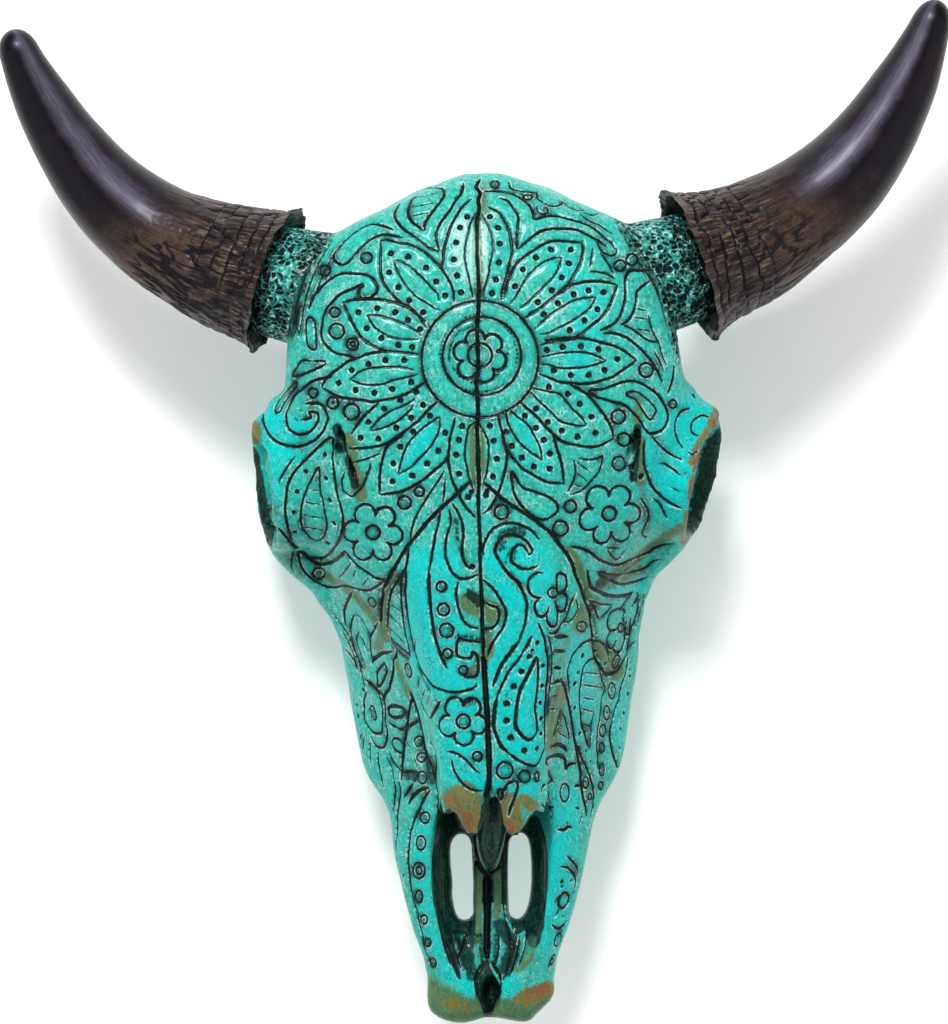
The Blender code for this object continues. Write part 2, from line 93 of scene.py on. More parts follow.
# Carved lines, by cut and parted by semicolons: a place in the picture, then steps; a z closes it
FLOWER_LINES: dict[Cut, str] = {
    Cut.LINE: """
    471,198 -8,7 -6,9 -6,11 -4,13 -3,10 -1,11 -1,8; 489,207 9,4 6,8 5,11 2,11 1,11 -3,13 -2,10 -4,13
    -2,11; 504,297 4,-16 6,-14 7,-8 12,-9 12,-7 12,-3 25,2; 583,240 0,12 -3,12 -6,10 -4,8 -8,8 -10,8
    -11,9 -11,7 -5,3; 616,284 -8,-2 -9,-1 -11,0 -10,2 -7,2 -14,10; 617,284 0,4 -4,10 -5,11 -7,9 -9,7
    -12,10 -9,4 -11,1 -15,0; 541,345 11,-4 14,-3 16,0 11,2 11,3 11,3 12,6 10,8; 637,360 -6,5 -9,6 -9,6
    -9,3 -11,3 -11,1 -11,-1 -11,-1 -10,-4 -10,-4; 569,383 8,5 11,7 9,10 7,9 6,10 3,7 1,8; 521,403 8,7
    9,8 8,9 7,7 7,6 8,4 7,1 10,2 12,0 10,-4 7,-4; 553,434 3,11 5,15 2,10 1,13; 503,441 5,10 7,9 8,9 10,6
    9,5 8,3 14,1; 455,418 -2,9 -3,11 -1,11 -1,11 2,12 3,11 5,10 4,9 6,8 7,7; 498,415 3,13 3,12 3,12 0,8
    -2,11 -3,12 -4,11 -7,13 -8,7; 381,495 9,-1 11,-2 11,-5 11,-7 11,-9 9,-8 5,-7; 438,401 -9,8 -11,12
    -14,11 -12,9 -7,9 -3,10 -2,9 -1,11 0,14; 378,403 -11,10 -7,8 -6,8 -3,5; 404,432 -4,5 -11,6 -9,3
    -13,2 -17,1; 321,387 4,-8 7,-6 8,-6 8,-6 9,-3 10,-4 11,-2 11,-1 11,1 10,1 7,1; 322,388 8,5 9,4 11,2
    11,1 11,2 11,-2 11,-2 9,-3 7,-3 15,-10; 342,302 8,-2 7,-1 21,0 12,2 10,3 9,4 9,7 7,6; 343,303 4,10
    5,10 9,14 9,7 10,5 8,2; 380,241 0,13 0,14 2,11 5,9 6,7 7,7 9,5 9,8 8,12; 380,240 8,-1 9,3 13,2 12,6
    10,8 7,7 3,4 7,11 4,10 1,11
    """,
    Cut.FINE: """
    477,212 -6,9 -3,12 -3,15 0,13 3,13 3,14 2,9; 482,214 6,11 4,12 1,13 -3,14 -2,13 -4,12 -2,8; 511,303
    6,-9 6,-11 7,-10 10,-9 12,-6 10,-1; 562,257 -4,12 -6,9 -9,9 -10,10 -5,5 -8,6; 596,297 -5,0 -9,1
    -10,3 -10,6 -10,6 -9,8 -8,7; 596,298 -6,10 -9,7 -11,7 -10,5 -12,6 -8,1; 541,357 9,-2 10,-2 11,-1
    11,0 11,2 13,6; 606,361 -9,3 -12,3 -14,1 -11,0 -10,-3 -9,-1; 533,388 17,4 10,2 7,8 7,8 8,8 4,6;
    531,392 9,10 10,9 10,10 9,3 10,2 7,0; 506,413 2,10 5,10 7,10 9,8 13,9; 510,410 8,7 10,8 6,10 6,12
    2,11; 475,422 -6,5 -2,8 -2,12 0,13 2,8 2,10 4,12; 479,424 5,8 4,9 1,11 -1,11 -1,9 -3,9; 439,417
    -16,11 -13,13 -6,11 -4,13 -2,8; 440,418 -1,12 -5,11 -7,10 -8,8 -9,9 -11,6; 370,430 8,-10 11,-8 11,-5
    10,-5 4,-3; 371,431 12,-3 11,-5 9,-6 7,-7 3,-5; 350,379 9,-7 11,-4 13,-1 17,0 14,3; 350,380 11,4
    11,1 11,-1 11,-4 14,-3 10,-3; 367,315 11,0 11,3 11,4 12,6 9,7; 367,316 6,9 8,7 10,5 11,2 16,0;
    393,261 8,17 8,11 8,8 10,6 7,5 5,1; 394,260 5,0 12,7 11,10 9,10 6,6 2,6
    """,
}
# Dots between the petals: a place in the picture, then the steps from dot to dot
FLOWER_DOTS = """
    467,216 -7,11 -4,15 -2,17 3,16 4,17 29,-76 8,11 2,16 -1,19 -3,17 -4,14 23,-7 8,-17 13,-12 15,-8 20,0
    -2,14 -7,14 -10,13 -14,12 6,12 14,-11 16,-9 15,-4 15,2 -6,17 -13,11 -15,10 -23,20 16,-3 18,-1 18,3
    19,10 -13,11 -16,5 -18,0 -17,-5 -5,17 19,7 12,10 12,13 4,16 -18,4 -16,-6 -14,-9 -12,-13 -11,7 11,12
    8,12 6,14 0,15 -16,-2 -12,-9 -10,-12 -6,-14 -44,-6 -3,14 -3,15 3,19 9,23 22,-71 4,15 3,18 -4,18
    -7,18 -56,-79 -17,16 -13,15 -7,17 -1,18 53,-49 -7,18 -11,13 -15,12 -44,-54 16,-13 16,-9 16,-8 -56,46
    18,1 18,-11 15,-10 12,-13 -85,-22 13,-13 17,-6 17,-4 19,0 -49,30 19,3 18,-4 19,-7 -53,-70 19,-4 18,4
    13,8 12,9 -54,-1 15,10 17,7 14,2 -21,-94 17,3 18,11 10,14 9,14 -56,-23 9,15 11,13 14,12
"""
BROW_LINES: dict[Cut, str] = {
    Cut.LINE: """
    424,230 -7,-5 -6,-5 -3,-6 0,-7 3,-8 8,-7 11,-5 11,0 3,6 -3,6 -6,8 -5,7 -5,8 z; 399,202 -4,7 -1,5 3,7
    5,6 8,6 10,7 9,7 9,4; 463,182 -2,10 -6,8 -5,9 -6,8 -5,8 -3,9 1,8 2,7; 402,237 -12,-3 -9,0 -8,3 -6,4
    -8,7 -6,7 -6,7 -7,2 -6,-4 -1,-6 5,-7 7,-8 9,-7 9,-6 10,-3 10,2 10,4; 308,309 4,-11 6,-8 5,-6 9,-7
    10,-4 12,0 11,1 7,4 4,6 1,6 -4,5 -5,3 -7,0 -3,-5 1,-5 5,-2; 363,286 -2,-2 -8,4 -8,3 -7,4 -7,7 -6,7
    -3,8 -1,8 -1,7 2,9 6,7 7,5 10,2 12,4; 291,377 9,-2 10,-4 9,-4 6,-3; 262,413 0,8 3,9 6,8 8,5 9,3 10,1
    9,-3 7,-4 7,-7 4,-8 2,-7 -3,-8 -5,-6 -7,-1 -8,1; 331,377 -12,2 -9,3 -9,7 -7,6 -5,9 -4,9 0,8 2,7 4,4
    7,3 9,-2 6,-5 4,-7 0,-7 -5,-2 -4,1 2,4 -3,2 -7,1; 335,449 -5,-11 -12,9 -8,8 -9,9 -8,10 -5,11 -2,14
    -1,13 2,13 3,10 4,12 6,6 8,5 9,1 8,-2 7,-7 6,-9 3,-11 1,-11 -2,-11 -3,-11 -3,-14 -1,-13 0,-12 z;
    500,197 8,3 5,7 5,8 0,10 -1,12 0,11; 485,190 10,0 10,1 10,3 8,5 7,6 3,7 2,6 12,-3 11,0 11,3 11,3
    10,4 9,6 6,6 7,5 3,6; 519,248 10,-9 11,-8 12,-3 11,0 14,1 11,5 9,5 5,3 5,4; 650,270 -9,0 -9,0 -4,4
    -2,7 0,11 -1,11 -3,10 -6,9 -8,5 -7,3; 650,281 -8,6 -4,5 -1,9 -2,9 -6,10 -7,4; 605,333 10,0 12,4 8,6
    8,7 7,8 5,7 5,9 3,8; 590,392 5,-2 9,-1 11,-4 9,-3 8,-1 9,2 9,5 8,6 6,8 4,9 1,8 -4,9 -5,4 -8,2 -5,-3
    -5,-8 -4,-6 -7,-7 -8,-6 -10,-2 -9,-3 -7,-2 z; 645,441 0,22 3,11 4,11 7,10 8,7 11,6 4,1; 512,472 6,9
    5,7 8,3 9,3 10,4 7,6 1,7 -6,6 -7,3 -9,-2 -9,-7 -8,-9 -5,-10 -2,-11 z; 572,547 10,2 9,4 9,7 9,4 8,2
    7,-2 11,-5 12,-5 8,-5 9,-3 10,-1; 599,573 5,5 7,3 7,3 6,1 9,-2 7,-2 7,-3; 298,552 1,9 3,9 7,8 9,6
    12,4 12,-1 8,1 11,3 7,0 6,-3 9,-6
    """,
    Cut.BOLD: """
    272,524 9,9 8,9 9,8 10,8 7,5 6,2 9,-2 8,-5 6,-6; 344,552 6,8 8,8 9,6 8,5 8,1; 675,366 0,8 -2,9
    -4,10; 588,570 2,9 2,8 4,3 6,3 7,3 9,1 9,-1 7,-3
    """,
    Cut.FINE: """
    311,361 12,0 2,3; 291,376 9,-15 11,0; 295,382 -8,7 -7,8 -6,10 1,5 4,-1 4,-8 6,-9 6,-7 z; 294,457
    -7,10 -6,10 -3,7; 344,473 -3,9 1,8 5,5 4,2 4,-3 7,-7 5,-13 4,-10; 353,463 14,-4 12,-5; 318,468 -6,9
    -5,11 -4,13 -2,13 1,13 5,8 6,6 7,0 4,-6 2,-10 -2,-11 -2,-12 -3,-12 z; 294,552 -3,8 0,8 2,5; 537,205
    1,5 5,3 5,-2 -1,-4 -4,0; 509,181 2,6 9,3 10,1 7,0 1,6 7,5 7,3 7,-1 4,-3 -3,-3; 563,201 9,6 6,2 6,0;
    585,212 7,2 5,-1; 580,213 10,7 11,5 11,8; 597,241 5,9 6,4 5,1 4,-3 0,-4; 593,248 -1,10 -2,9; 601,252
    7,10 6,11; 591,271 11,1 8,3 5,3; 622,324 9,4 9,6 9,6 9,2; 649,314 4,16 7,13 3,11 4,11; 654,350 6,10
    4,10; 627,395 2,-3 9,0 7,5 7,6 5,7 -2,5 -3,5 -4,-3 -6,-9 -5,-8 -6,-3 z; 690,408 -7,3 -5,7 -2,9 1,8
    3,8 3,5; 710,417 -7,-2 -6,3 -4,5 -1,7 3,4 4,1; 689,452 4,2 5,-3; 653,437 7,8 9,8 13,7; 660,464 5,0
    9,6 6,5; 653,498 7,7 4,9 3,5; 642,499 6,11 1,9 -4,9 -2,7 5,4; 580,459 9,1 9,-1 5,-2 -3,14 -8,10
    -10,10 -11,4; 574,461 2,11 -3,11 -5,9; 598,572 6,1 9,2 14,0 11,-3 9,-4 7,-6 8,-2; 609,551 4,6 6,3
    5,-8; 608,548 12,1; 591,601 6,2 6,2 9,0; 614,604 -5,7 -8,8; 300,306 -4,9 -1,11 3,7; 306,318 -1,14
    2,14 8,3 0,-14 -2,-15 z
    """,
    Cut.HAIR: """
    413,197 24,-5; 412,206 21,-4; 412,215 16,-3; 310,491 7,0; 305,503 14,2; 304,516 18,3; 303,528 19,3;
    355,571 -3,7; 367,579 -5,7; 350,564 -11,14; 639,309 8,1; 635,317 13,2; 638,329 14,2; 578,463 12,9;
    578,474 9,7; 575,485 7,2; 670,487 9,5; 297,409 4,3; 293,418 4,3
    """,
}
NOSE_LINES: dict[Cut, str] = {
    Cut.BOLD: """
    382,590 5,-11 5,-9 8,-13 10,-14 7,-8 6,-8 8,-9 9,-9 8,-7 9,-8 6,-6 6,-5; 484,483 10,8 8,7 10,7 11,7
    11,7 9,8 7,5 10,13 7,9 6,10 5,13 5,11 4,13 5,12 1,9 2,14 0,12 2,9 3,7 4,7 3,6; 428,570 0,17 1,16
    2,17 2,14 4,14 4,11 5,9; 519,642 -7,9 -5,7 -6,9 -4,9 -4,10; 497,698 -2,11 -1,11 0,9 3,8 4,9 7,7;
    537,657 -4,9 -5,11 -6,11 -3,9 -2,11 -1,9 0,10 3,5 4,5 5,3 4,0 4,-4; 562,679 4,8 2,7 2,9 2,11 2,12
    2,13 2,12 2,11 2,10 0,8 2,16 3,11 1,9; 556,637 13,0; 555,651 11,1; 555,668 8,1; 553,684 10,-3;
    439,702 -10,16; 553,747 7,-2 6,3 2,4; 412,784 -9,13; 532,637 -4,9 -5,7; 378,623 1,-11 1,-12 2,-10;
    402,773 7,-1 7,1
    """,
    Cut.LINE: """
    408,548 -1,10 -2,11 0,12 -1,11 1,11 1,11 2,12 2,11 2,9 2,8 4,12 4,8 5,7 5,6 7,3 7,2 7,1 9,-1 8,-2
    7,-4; 440,512 -2,10 -3,11 -2,11 -2,11 -2,14; 449,510 1,7 0,7 -3,9 -2,11 0,11 3,10 5,9 8,5 9,-1 7,-3;
    452,504 6,9 4,11 1,11 -1,12 0,8 2,7 5,6 6,-2; 483,555 0,-8 4,-9 5,-8 9,-5 10,-2 10,2 9,4 5,4 4,6;
    521,590 -3,-7 -7,-6 -7,-9 -5,-8 -4,-9 3,-8 5,-5 8,-3 9,2 7,4 5,7 1,4 -4,3; 529,553 -5,-7 -5,-1 -5,4
    -2,5 0,7 5,5 6,3 8,0 7,-3; 483,580 7,6 7,8 5,9 4,8 0,8 -3,9 -6,9 -6,10 -3,9; 458,583 -2,9 1,11 3,11
    4,8 6,5 8,2; 482,629 9,0 6,-5 2,-5 0,-7 -2,-4 -6,-2 -5,-3; 480,643 -7,-1 -9,-1 -5,-2 -2,4 -1,7 1,6
    4,2 6,1 4,-1 1,-5 2,0 3,4 1,6 0,7 -2,6 -6,2 -6,-1; 507,570 5,7 7,5 4,9 4,11 0,10 -1,10 -3,10 -4,10;
    523,653 -5,8 -7,8 -5,9 -5,10 -4,10; 508,753 8,6 7,4 8,3 6,0 4,-5 3,-8 2,-6; 539,624 4,8 3,9 1,9 2,9
    0,11 -1,11 -1,9 0,9 -1,9 0,12 0,15 0,12; 536,736 2,-5 0,-7 -1,-7 -1,-8 1,-9 1,-10 1,-11 0,-11
    -1,-10; 463,706 5,-4 5,-2 4,-1; 447,752 5,1 7,3 8,6 6,7 6,4; 451,760 1,9 4,7 4,6 7,6 7,3 8,1;
    516,781 -7,3 -6,8 -2,6 -1,3; 516,781 2,5 -1,6 -3,8 -4,9 -2,7; 578,744 4,12 5,10 4,11 3,10 1,10 -1,10
    -2,9; 561,710 -2,12 -3,10 -3,10 -1,6; 595,641 -5,0 -6,3 -5,5 -5,7 -3,8 -2,9 1,9 1,10; 596,659 -6,2
    -5,7 -2,8 -1,8 -1,9 0,10 1,11 1,12 3,7 2,9 3,7; 592,603 4,6 4,11; 576,594 -4,10 -4,12 -5,8 -5,8 -5,2
    -3,-1; 401,574 -5,9 -5,8 -3,11 -1,12 -1,12 1,10 5,11 2,7 -2,8; 403,570 -2,7 -1,10 0,12 1,12 1,12
    2,11 3,12 2,10
    """,
    Cut.FINE: """
    444,471 -5,9 -7,10 -7,11 -6,10 -5,10 -3,11 -1,9; 445,480 -1,11 -1,11; 549,637 3,9 1,8 0,12 -1,11
    -1,9 -1,10 -1,10 0,8; 562,711 4,7 2,9 2,7 0,10; 596,659 3,5 2,7 2,9 3,8 -3,12 -2,18 -2,11 -1,15 1,14
    0,11; 596,711 -3,11 -1,11 -1,14; 417,667 3,7 3,8 7,11; 420,701 3,9 5,9; 579,611 -5,8 -4,3 -5,0;
    577,600 2,7 0,4; 429,742 3,6 2,8 1,11 -1,11 0,9 3,13 2,9 4,7
    """,
    Cut.HAIR: """
    559,725 5,2; 558,732 10,6; 386,626 17,17; 388,614 12,14; 390,604 9,8; 394,594 4,5; 387,637 22,19;
    392,647 16,12; 418,677 -1,11; 423,690 -2,9; 428,697 -2,8; 414,640 0,9; 586,673 14,1; 584,685 19,3;
    584,698 11,2; 583,709 11,3; 584,724 8,3; 549,711 9,-2; 552,698 6,-2; 404,740 5,8; 412,756 4,12;
    551,809 0,10
    """,
}
JAW_LINES: dict[Cut, str] = {
    Cut.BOLD: """
    350,594 -4,8 -3,8 0,7 1,6 2,5; 390,652 -4,1 -6,1 -4,3 -4,3 -1,4; 410,692 1,6 -2,5 -1,7 -1,8 -1,8
    -1,8 -2,10 -1,12 -1,8 0,8 -1,8; 417,721 -5,3 -6,4 -6,2 -3,-1; 408,694 4,9 2,8 3,9 2,10 2,9 1,9 3,8
    3,7 3,9 2,10; 387,711 2,-4 7,0 6,2 2,3 -2,4 -5,2 -7,-1 z; 392,662 0,8 -1,7 -2,7 -1,5 -4,5 -1,6;
    427,788 -9,3 -8,8 -2,5; 549,766 0,-6 4,-3 7,-1 6,3 1,5 1,5 3,-4 6,-1; 552,782 -4,3 -4,3 -1,3;
    543,806 5,2 6,0; 559,830 7,0 3,-3 4,1; 577,808 3,1; 582,786 -4,0 -2,1; 617,672 -8,3 -5,-4; 613,722
    -2,11 1,10 2,10 3,9 2,6
    """,
    Cut.LINE: """
    376,624 -4,8 -3,5 0,4 0,7 1,6 1,6; 383,664 -4,4 -3,5 0,7 1,6 2,0 3,-5 2,-5 2,-6 -2,-4 z; 388,722 3,4
    3,1 3,2; 429,791 -5,6 -3,6 -3,8 -4,7 -3,9 -2,7 -1,10 -1,12 0,6 1,10 2,15 2,13 4,12 2,11 3,11 2,13
    3,10; 364,680 8,7 5,6 2,8 2,8 0,9 0,8 0,6 -3,2 -6,-1 -4,-5 -4,-6 -1,-8 0,-7 0,-8 3,-7; 368,680 6,8
    6,6 3,8 1,10 0,10 2,11 -1,9 -2,5 -2,1 -5,-1 -4,-5 -2,-5; 391,741 2,-2 5,1 4,4; 391,741 0,3 2,5 5,4
    4,1; 388,752 3,8 5,7 4,4; 377,753 0,9 2,11 2,9 1,5; 393,780 1,11 -1,9 -1,11; 398,782 1,10 -1,8 -1,8
    -1,9 0,11 -1,17 1,15; 624,609 -6,1 -6,3 -3,6 0,7 3,5 5,-1 2,-3; 612,631 -3,6 -1,6 3,5 3,0 3,-7;
    613,648 4,4 4,0 3,-6 2,-7 -1,-7; 626,623 -2,-4 2,-7 -3,-3; 628,621 -2,7 1,6 3,0 1,-8 1,-8; 628,654
    -4,8 -4,7 -4,4; 629,658 -1,9 -2,9 -3,8 -2,9 -1,7 -4,10 -3,12; 640,600 -1,9 -3,11 -4,10 -1,7 -2,9
    -1,8; 568,856 6,6 4,6 1,6; 562,867 6,1 5,4 4,8 -1,8 -2,6; 570,896 -4,-3 -4,3 -2,5 0,5 4,3 4,-4 2,-6
    z; 553,925 3,3 4,1 4,-3 4,-5
    """,
    Cut.FINE: """
    354,615 -3,4 -1,7 0,8 2,9 2,9 4,9 3,6 3,3; 356,615 3,3 4,6 4,8 2,6; 358,633 -2,4 0,6 2,7 2,6 2,6
    2,6; 359,637 3,4 2,6 2,5; 370,706 -1,3 1,5 2,5 2,1 1,-4 -2,-7 z; 361,733 -2,6; 363,738 -1,9 -1,5;
    369,743 0,13 0,8; 386,758 5,11 2,11; 332,614 9,12 7,11 4,11 5,11 2,9 2,9 3,10; 341,632 6,11 4,9 3,10
    3,8; 343,649 6,7 4,6 3,8; 595,641 6,1 6,5 2,6 1,8; 622,608 6,-8 6,-6; 638,593 1,4 -6,10; 645,593
    -1,10 -3,10 -2,10 -2,4; 637,641 -8,7; 584,812 -2,7 -1,5; 569,827 -1,-5; 551,767 -1,5 2,7 4,4;
    548,792 1,7 0,5; 555,903 3,-4 4,-4; 556,917 2,-4 2,-4; 552,960 -3,8; 427,957 3,5 2,6; 404,875 -3,2
    """,
}
CRACK_LINES: dict[Cut, str] = {
    Cut.CRACK: """
    480,177 -4,8 4,7 -2,7 1,8 -2,13 0,17 0,16 1,17 1,22 -1,23 -1,12 1,28 0,17 -2,10 1,11 1,17 -1,17 1,22
    0,16 1,15 -1,17 1,22 1,22 0,22 1,23 1,24 0,18 1,14 0,14
    """,
    Cut.SEAM: """
    483,656 1,14 1,14 1,16 1,20 1,20 1,22 0,16 -1,22
    """,
}
# Slots and edges in the brow and in the nose opening
HOLLOW_LINES: dict[Cut, str] = {
    Cut.SLOT: """
    338,429 2,8 3,9; 347,459 3,9 4,10; 637,430 -1,14 -2,14 -1,14; 487.5,876 0,24 0,30 0,26
    """,
    Cut.BOLD: """
    343,446 4,13; 354,478 3,10; 633,472 0,10; 471,856 8,11 9,5 9,-5 8,-13; 484,962 -6,12 -1,14 5,12
    5.5,12 5.5,-12 6,-12 -1,-14 -6,-12
    """,
    Cut.LINE: """
    471,838 0.5,32 0.5,35 -5,30 -8,23; 505,838 0,32 0,35 4,25 4,18; 444,850 -1,35 2,30; 541,850 1,35
    -2,30; 487.5,1008 0,12
    """,
    Cut.FINE: """
    452,930 4,18 5,20; 446,936 5,19 7,23; 459,936 4,16; 441,915 2,25 7,26; 512,940 -4,20 -6,20; 519,936
    -4,20 -6,20; 499,935 -1,15 -3,15; 526,925 -2,20 -6,20
    """,
    Cut.HAIR: """
    330,240 -14,28 -11,32 -7,36; 323,236 -14,30 -11,32 -7,36; 337,246 -13,24 -10,26; 622,232 18,30 17,28
    11,34; 629,230 19,32 16,28 10,32; 449,942 5,18
    """,
}
# Broad folds of the bone itself, which carry no ink of their own, written like the lines
FOLD_LINES = """
    382,590 -2,10 -1,12 1,12 6,12 6,12 3,12 5,12 4,12 6,12; 400,557 -9,18 -6,15; 351,594 8,7 8,8 6,8
    5,7; 410,695 7,25 5,25 8,25 6,30; 575,566 9,22 6,17 4,20 2,20 4,19; 560,660 -2,30 -6,30 -4,40 -3,40;
    604,590 12,-6 19,-12 20,-16
"""
RINGS = """
    366,257,5.5 324,270,5.2 334,312,4.8 336,331,7.5 352,344,5.8 352,344,2.5 312,393,4.7 332,403,5.8
    351,412,8 318,574,5.5 404,503,6.5 419,492,4.7 441,587,5.2 443,610,6 446,631,7 447,654,4.7
    463,671,4.5 502,512,7.2 621,265,5.5 633,259,5.8 647,370,7 674,404,4 619,417,7 625,440,6.5 620,464,7
    571,507,6 561,529,7.5 463,722,7 505,771,8.2 525,777,6 554,593,5 480,355,12 482,356,39.3 480,359,58.5
    495,183,4 477,757,4.7 583,627,5
"""
OVALS = """
    407,671,3,7,-10 371,603,3.5,5,-20 417,742,3.6,5,0 420,758,4.4,4.6,0 421,778,4.5,6,0
    424,818,4.5,5.5,0 420,843,4.8,7,0 418,871,6,8,0 418,871,3,4,0 418,897,3.5,6,0 423,920,3.3,4.5,0
    427,943,3,4,0 432,963,3,4.2,-25 538,777,2,5,0 566,793,4.5,9,0 587,783,2.6,5.6,0 591,797,1.8,3.2,0
    613,691,3.5,8,0 608,713,3,7,0 604,731,3,6,0 603,748,2.7,5,0 603,770,2.5,6,0 602,786,2.3,4,0
    622,628,2.5,4.5,0 617,662,3,7,20 528,196,4.5,2.5,0 500,795,2.5,5,0 559,940,3,7,18 554,960,1.8,5,20
"""
SMALL_DOTS = """
    538,643,2.4 533,651,2.2 530,657,2.8 522,672,3.3 514,687,3.3 507,704,3.4 507,721,3.4 511,738,3.5
    525,751,3.4 538,749,2.5 544,666,2.3 543,686,2.3 541,703,2.2 542,719,2.4 542,734,2.2 324,455,2.6
    305,472,2.4 325,479,2.6 297,492,2.4 329,501,2.6 294,513,2.4 333,524,2.6 295,533,2.4 327,544,2.6
    309,550,2.4 362,690,2.2 363,706,2.4 357,716,2.4 356,705,1.8 460,640,2.2 584,656,2.6 576,684,2.8
    579,673,1.8 576,708,2.4 581,734,2.3 598,652,2 606,664,2 598,634,1.4 625,713,2 622,729,2 621,748,1.8
    631,676,2 629,694,2.1 642,477,3.4 472,567,3 332,403,1.6 420,758,1.4 613,691,1.5 608,713,1.5
    563,882,2.2 563,887,1.6 572,881,1.4 564,917,1.4 587,751,1.6 592,762,1.5 695,395,2.8 471,492,2.6
    487,491,2.6
"""


@dataclass(frozen=True)
class Rosette:
    """A flower drawn with lobes: its middle and reach in the picture, and the heading of each lobe."""

    x: float
    y: float
    reach: float
    headings: tuple[float, ...]
    heart: float
    notch: float = 0.58

    def courses(self) -> list[Array]:
        """The outline and the heart as closed courses in the picture.

        Returns:
            Two arrays of places.
        """
        heads = np.radians(np.sort(self.headings))
        gaps = np.diff(np.append(heads, heads[0] + 2 * math.pi))
        outline = []
        for heading, after, before in zip(heads, gaps, np.roll(gaps, 1)):
            for share in np.linspace(-1, 1, 25)[:-1]:
                turn = heading + share * (after if share > 0 else before) / 2
                swell = math.cos(abs(share) * math.pi / 2) ** 0.55
                radius = self.reach * (self.notch + (1 - self.notch) * swell)
                outline.append((self.x + radius * math.cos(turn), self.y + radius * math.sin(turn)))
        outline.append(outline[0])
        hearts = [oval_course(self.x, self.y, self.heart, self.heart, 0)] if self.heart else []
        return [np.array(outline), *hearts]


ROSETTES = (
    Rosette(480, 356, 27, (-105, -45, 15, 75, 135, 195), 0, 0.66),
    Rosette(372, 533.3, 30, (-112, -52, 8, 62, 118, 183), 7),
    Rosette(610.3, 514.6, 31, (-124, -57, -2, 59, 110, 159), 7),
    Rosette(462, 721, 25, (-118, -55, 15, 84, 158), 0),
)
LEAF_LOBES = """
    543,573 -5,0 -6,4 -3,5 0,8 4,6 5,2 4,0; 540,599 -4,5 0,7 3,5 5,1 4,-4 2,-6; 548,616 0,4 3,6 4,1 3,-3
    1,-6 0,-7 -2,-8; 558,594 5,-1 5,4 0,6 -2,7 -4,2 -3,-3 -3,-7; 561,573 5,3 2,6 -1,7 -4,4 -4,0 -1,-3
    0,-6 0,-8 3,-3
"""

# Small moves of the bone: place in the picture, move right and down, reach, least height that moves
NUDGES = """
    707,392,-8,6,15,0 716,436,8,0,24,0 713,478,8,0,24,0 708,520,8,0,22,0 672,578,-15,0,24,0
    650,600,-4,0,18,0 266,515,-7,0,24,0 276,550,-7,0,22,0 303,594,6,0,16,0 255,406,8,2,15,0
    545,1012,-8,0,13,0 432,1012,-3,0,13,0 636,665,3,0,30,0 398,880,3,0,50,0 447,880,3,0,24,-50
    275,470,-8,0,20,106 276,510,-6,0,20,100
"""
# Painted shade deep inside: middle and reach of round rooms in the bone, each on both sides
DARK_ROOMS = """
    74,34,92,16 88,33,94,25.5 99,32,95.5,31 109,31,97,34.5 117,30.5,98,34 0,-170,96,27 0,-196,93,23
    0,-130,98,28 0,-95,98,27 94,98,82,17 92,116,83,21 91,133,84,20 0,190,46,17 0,170,48,15
"""
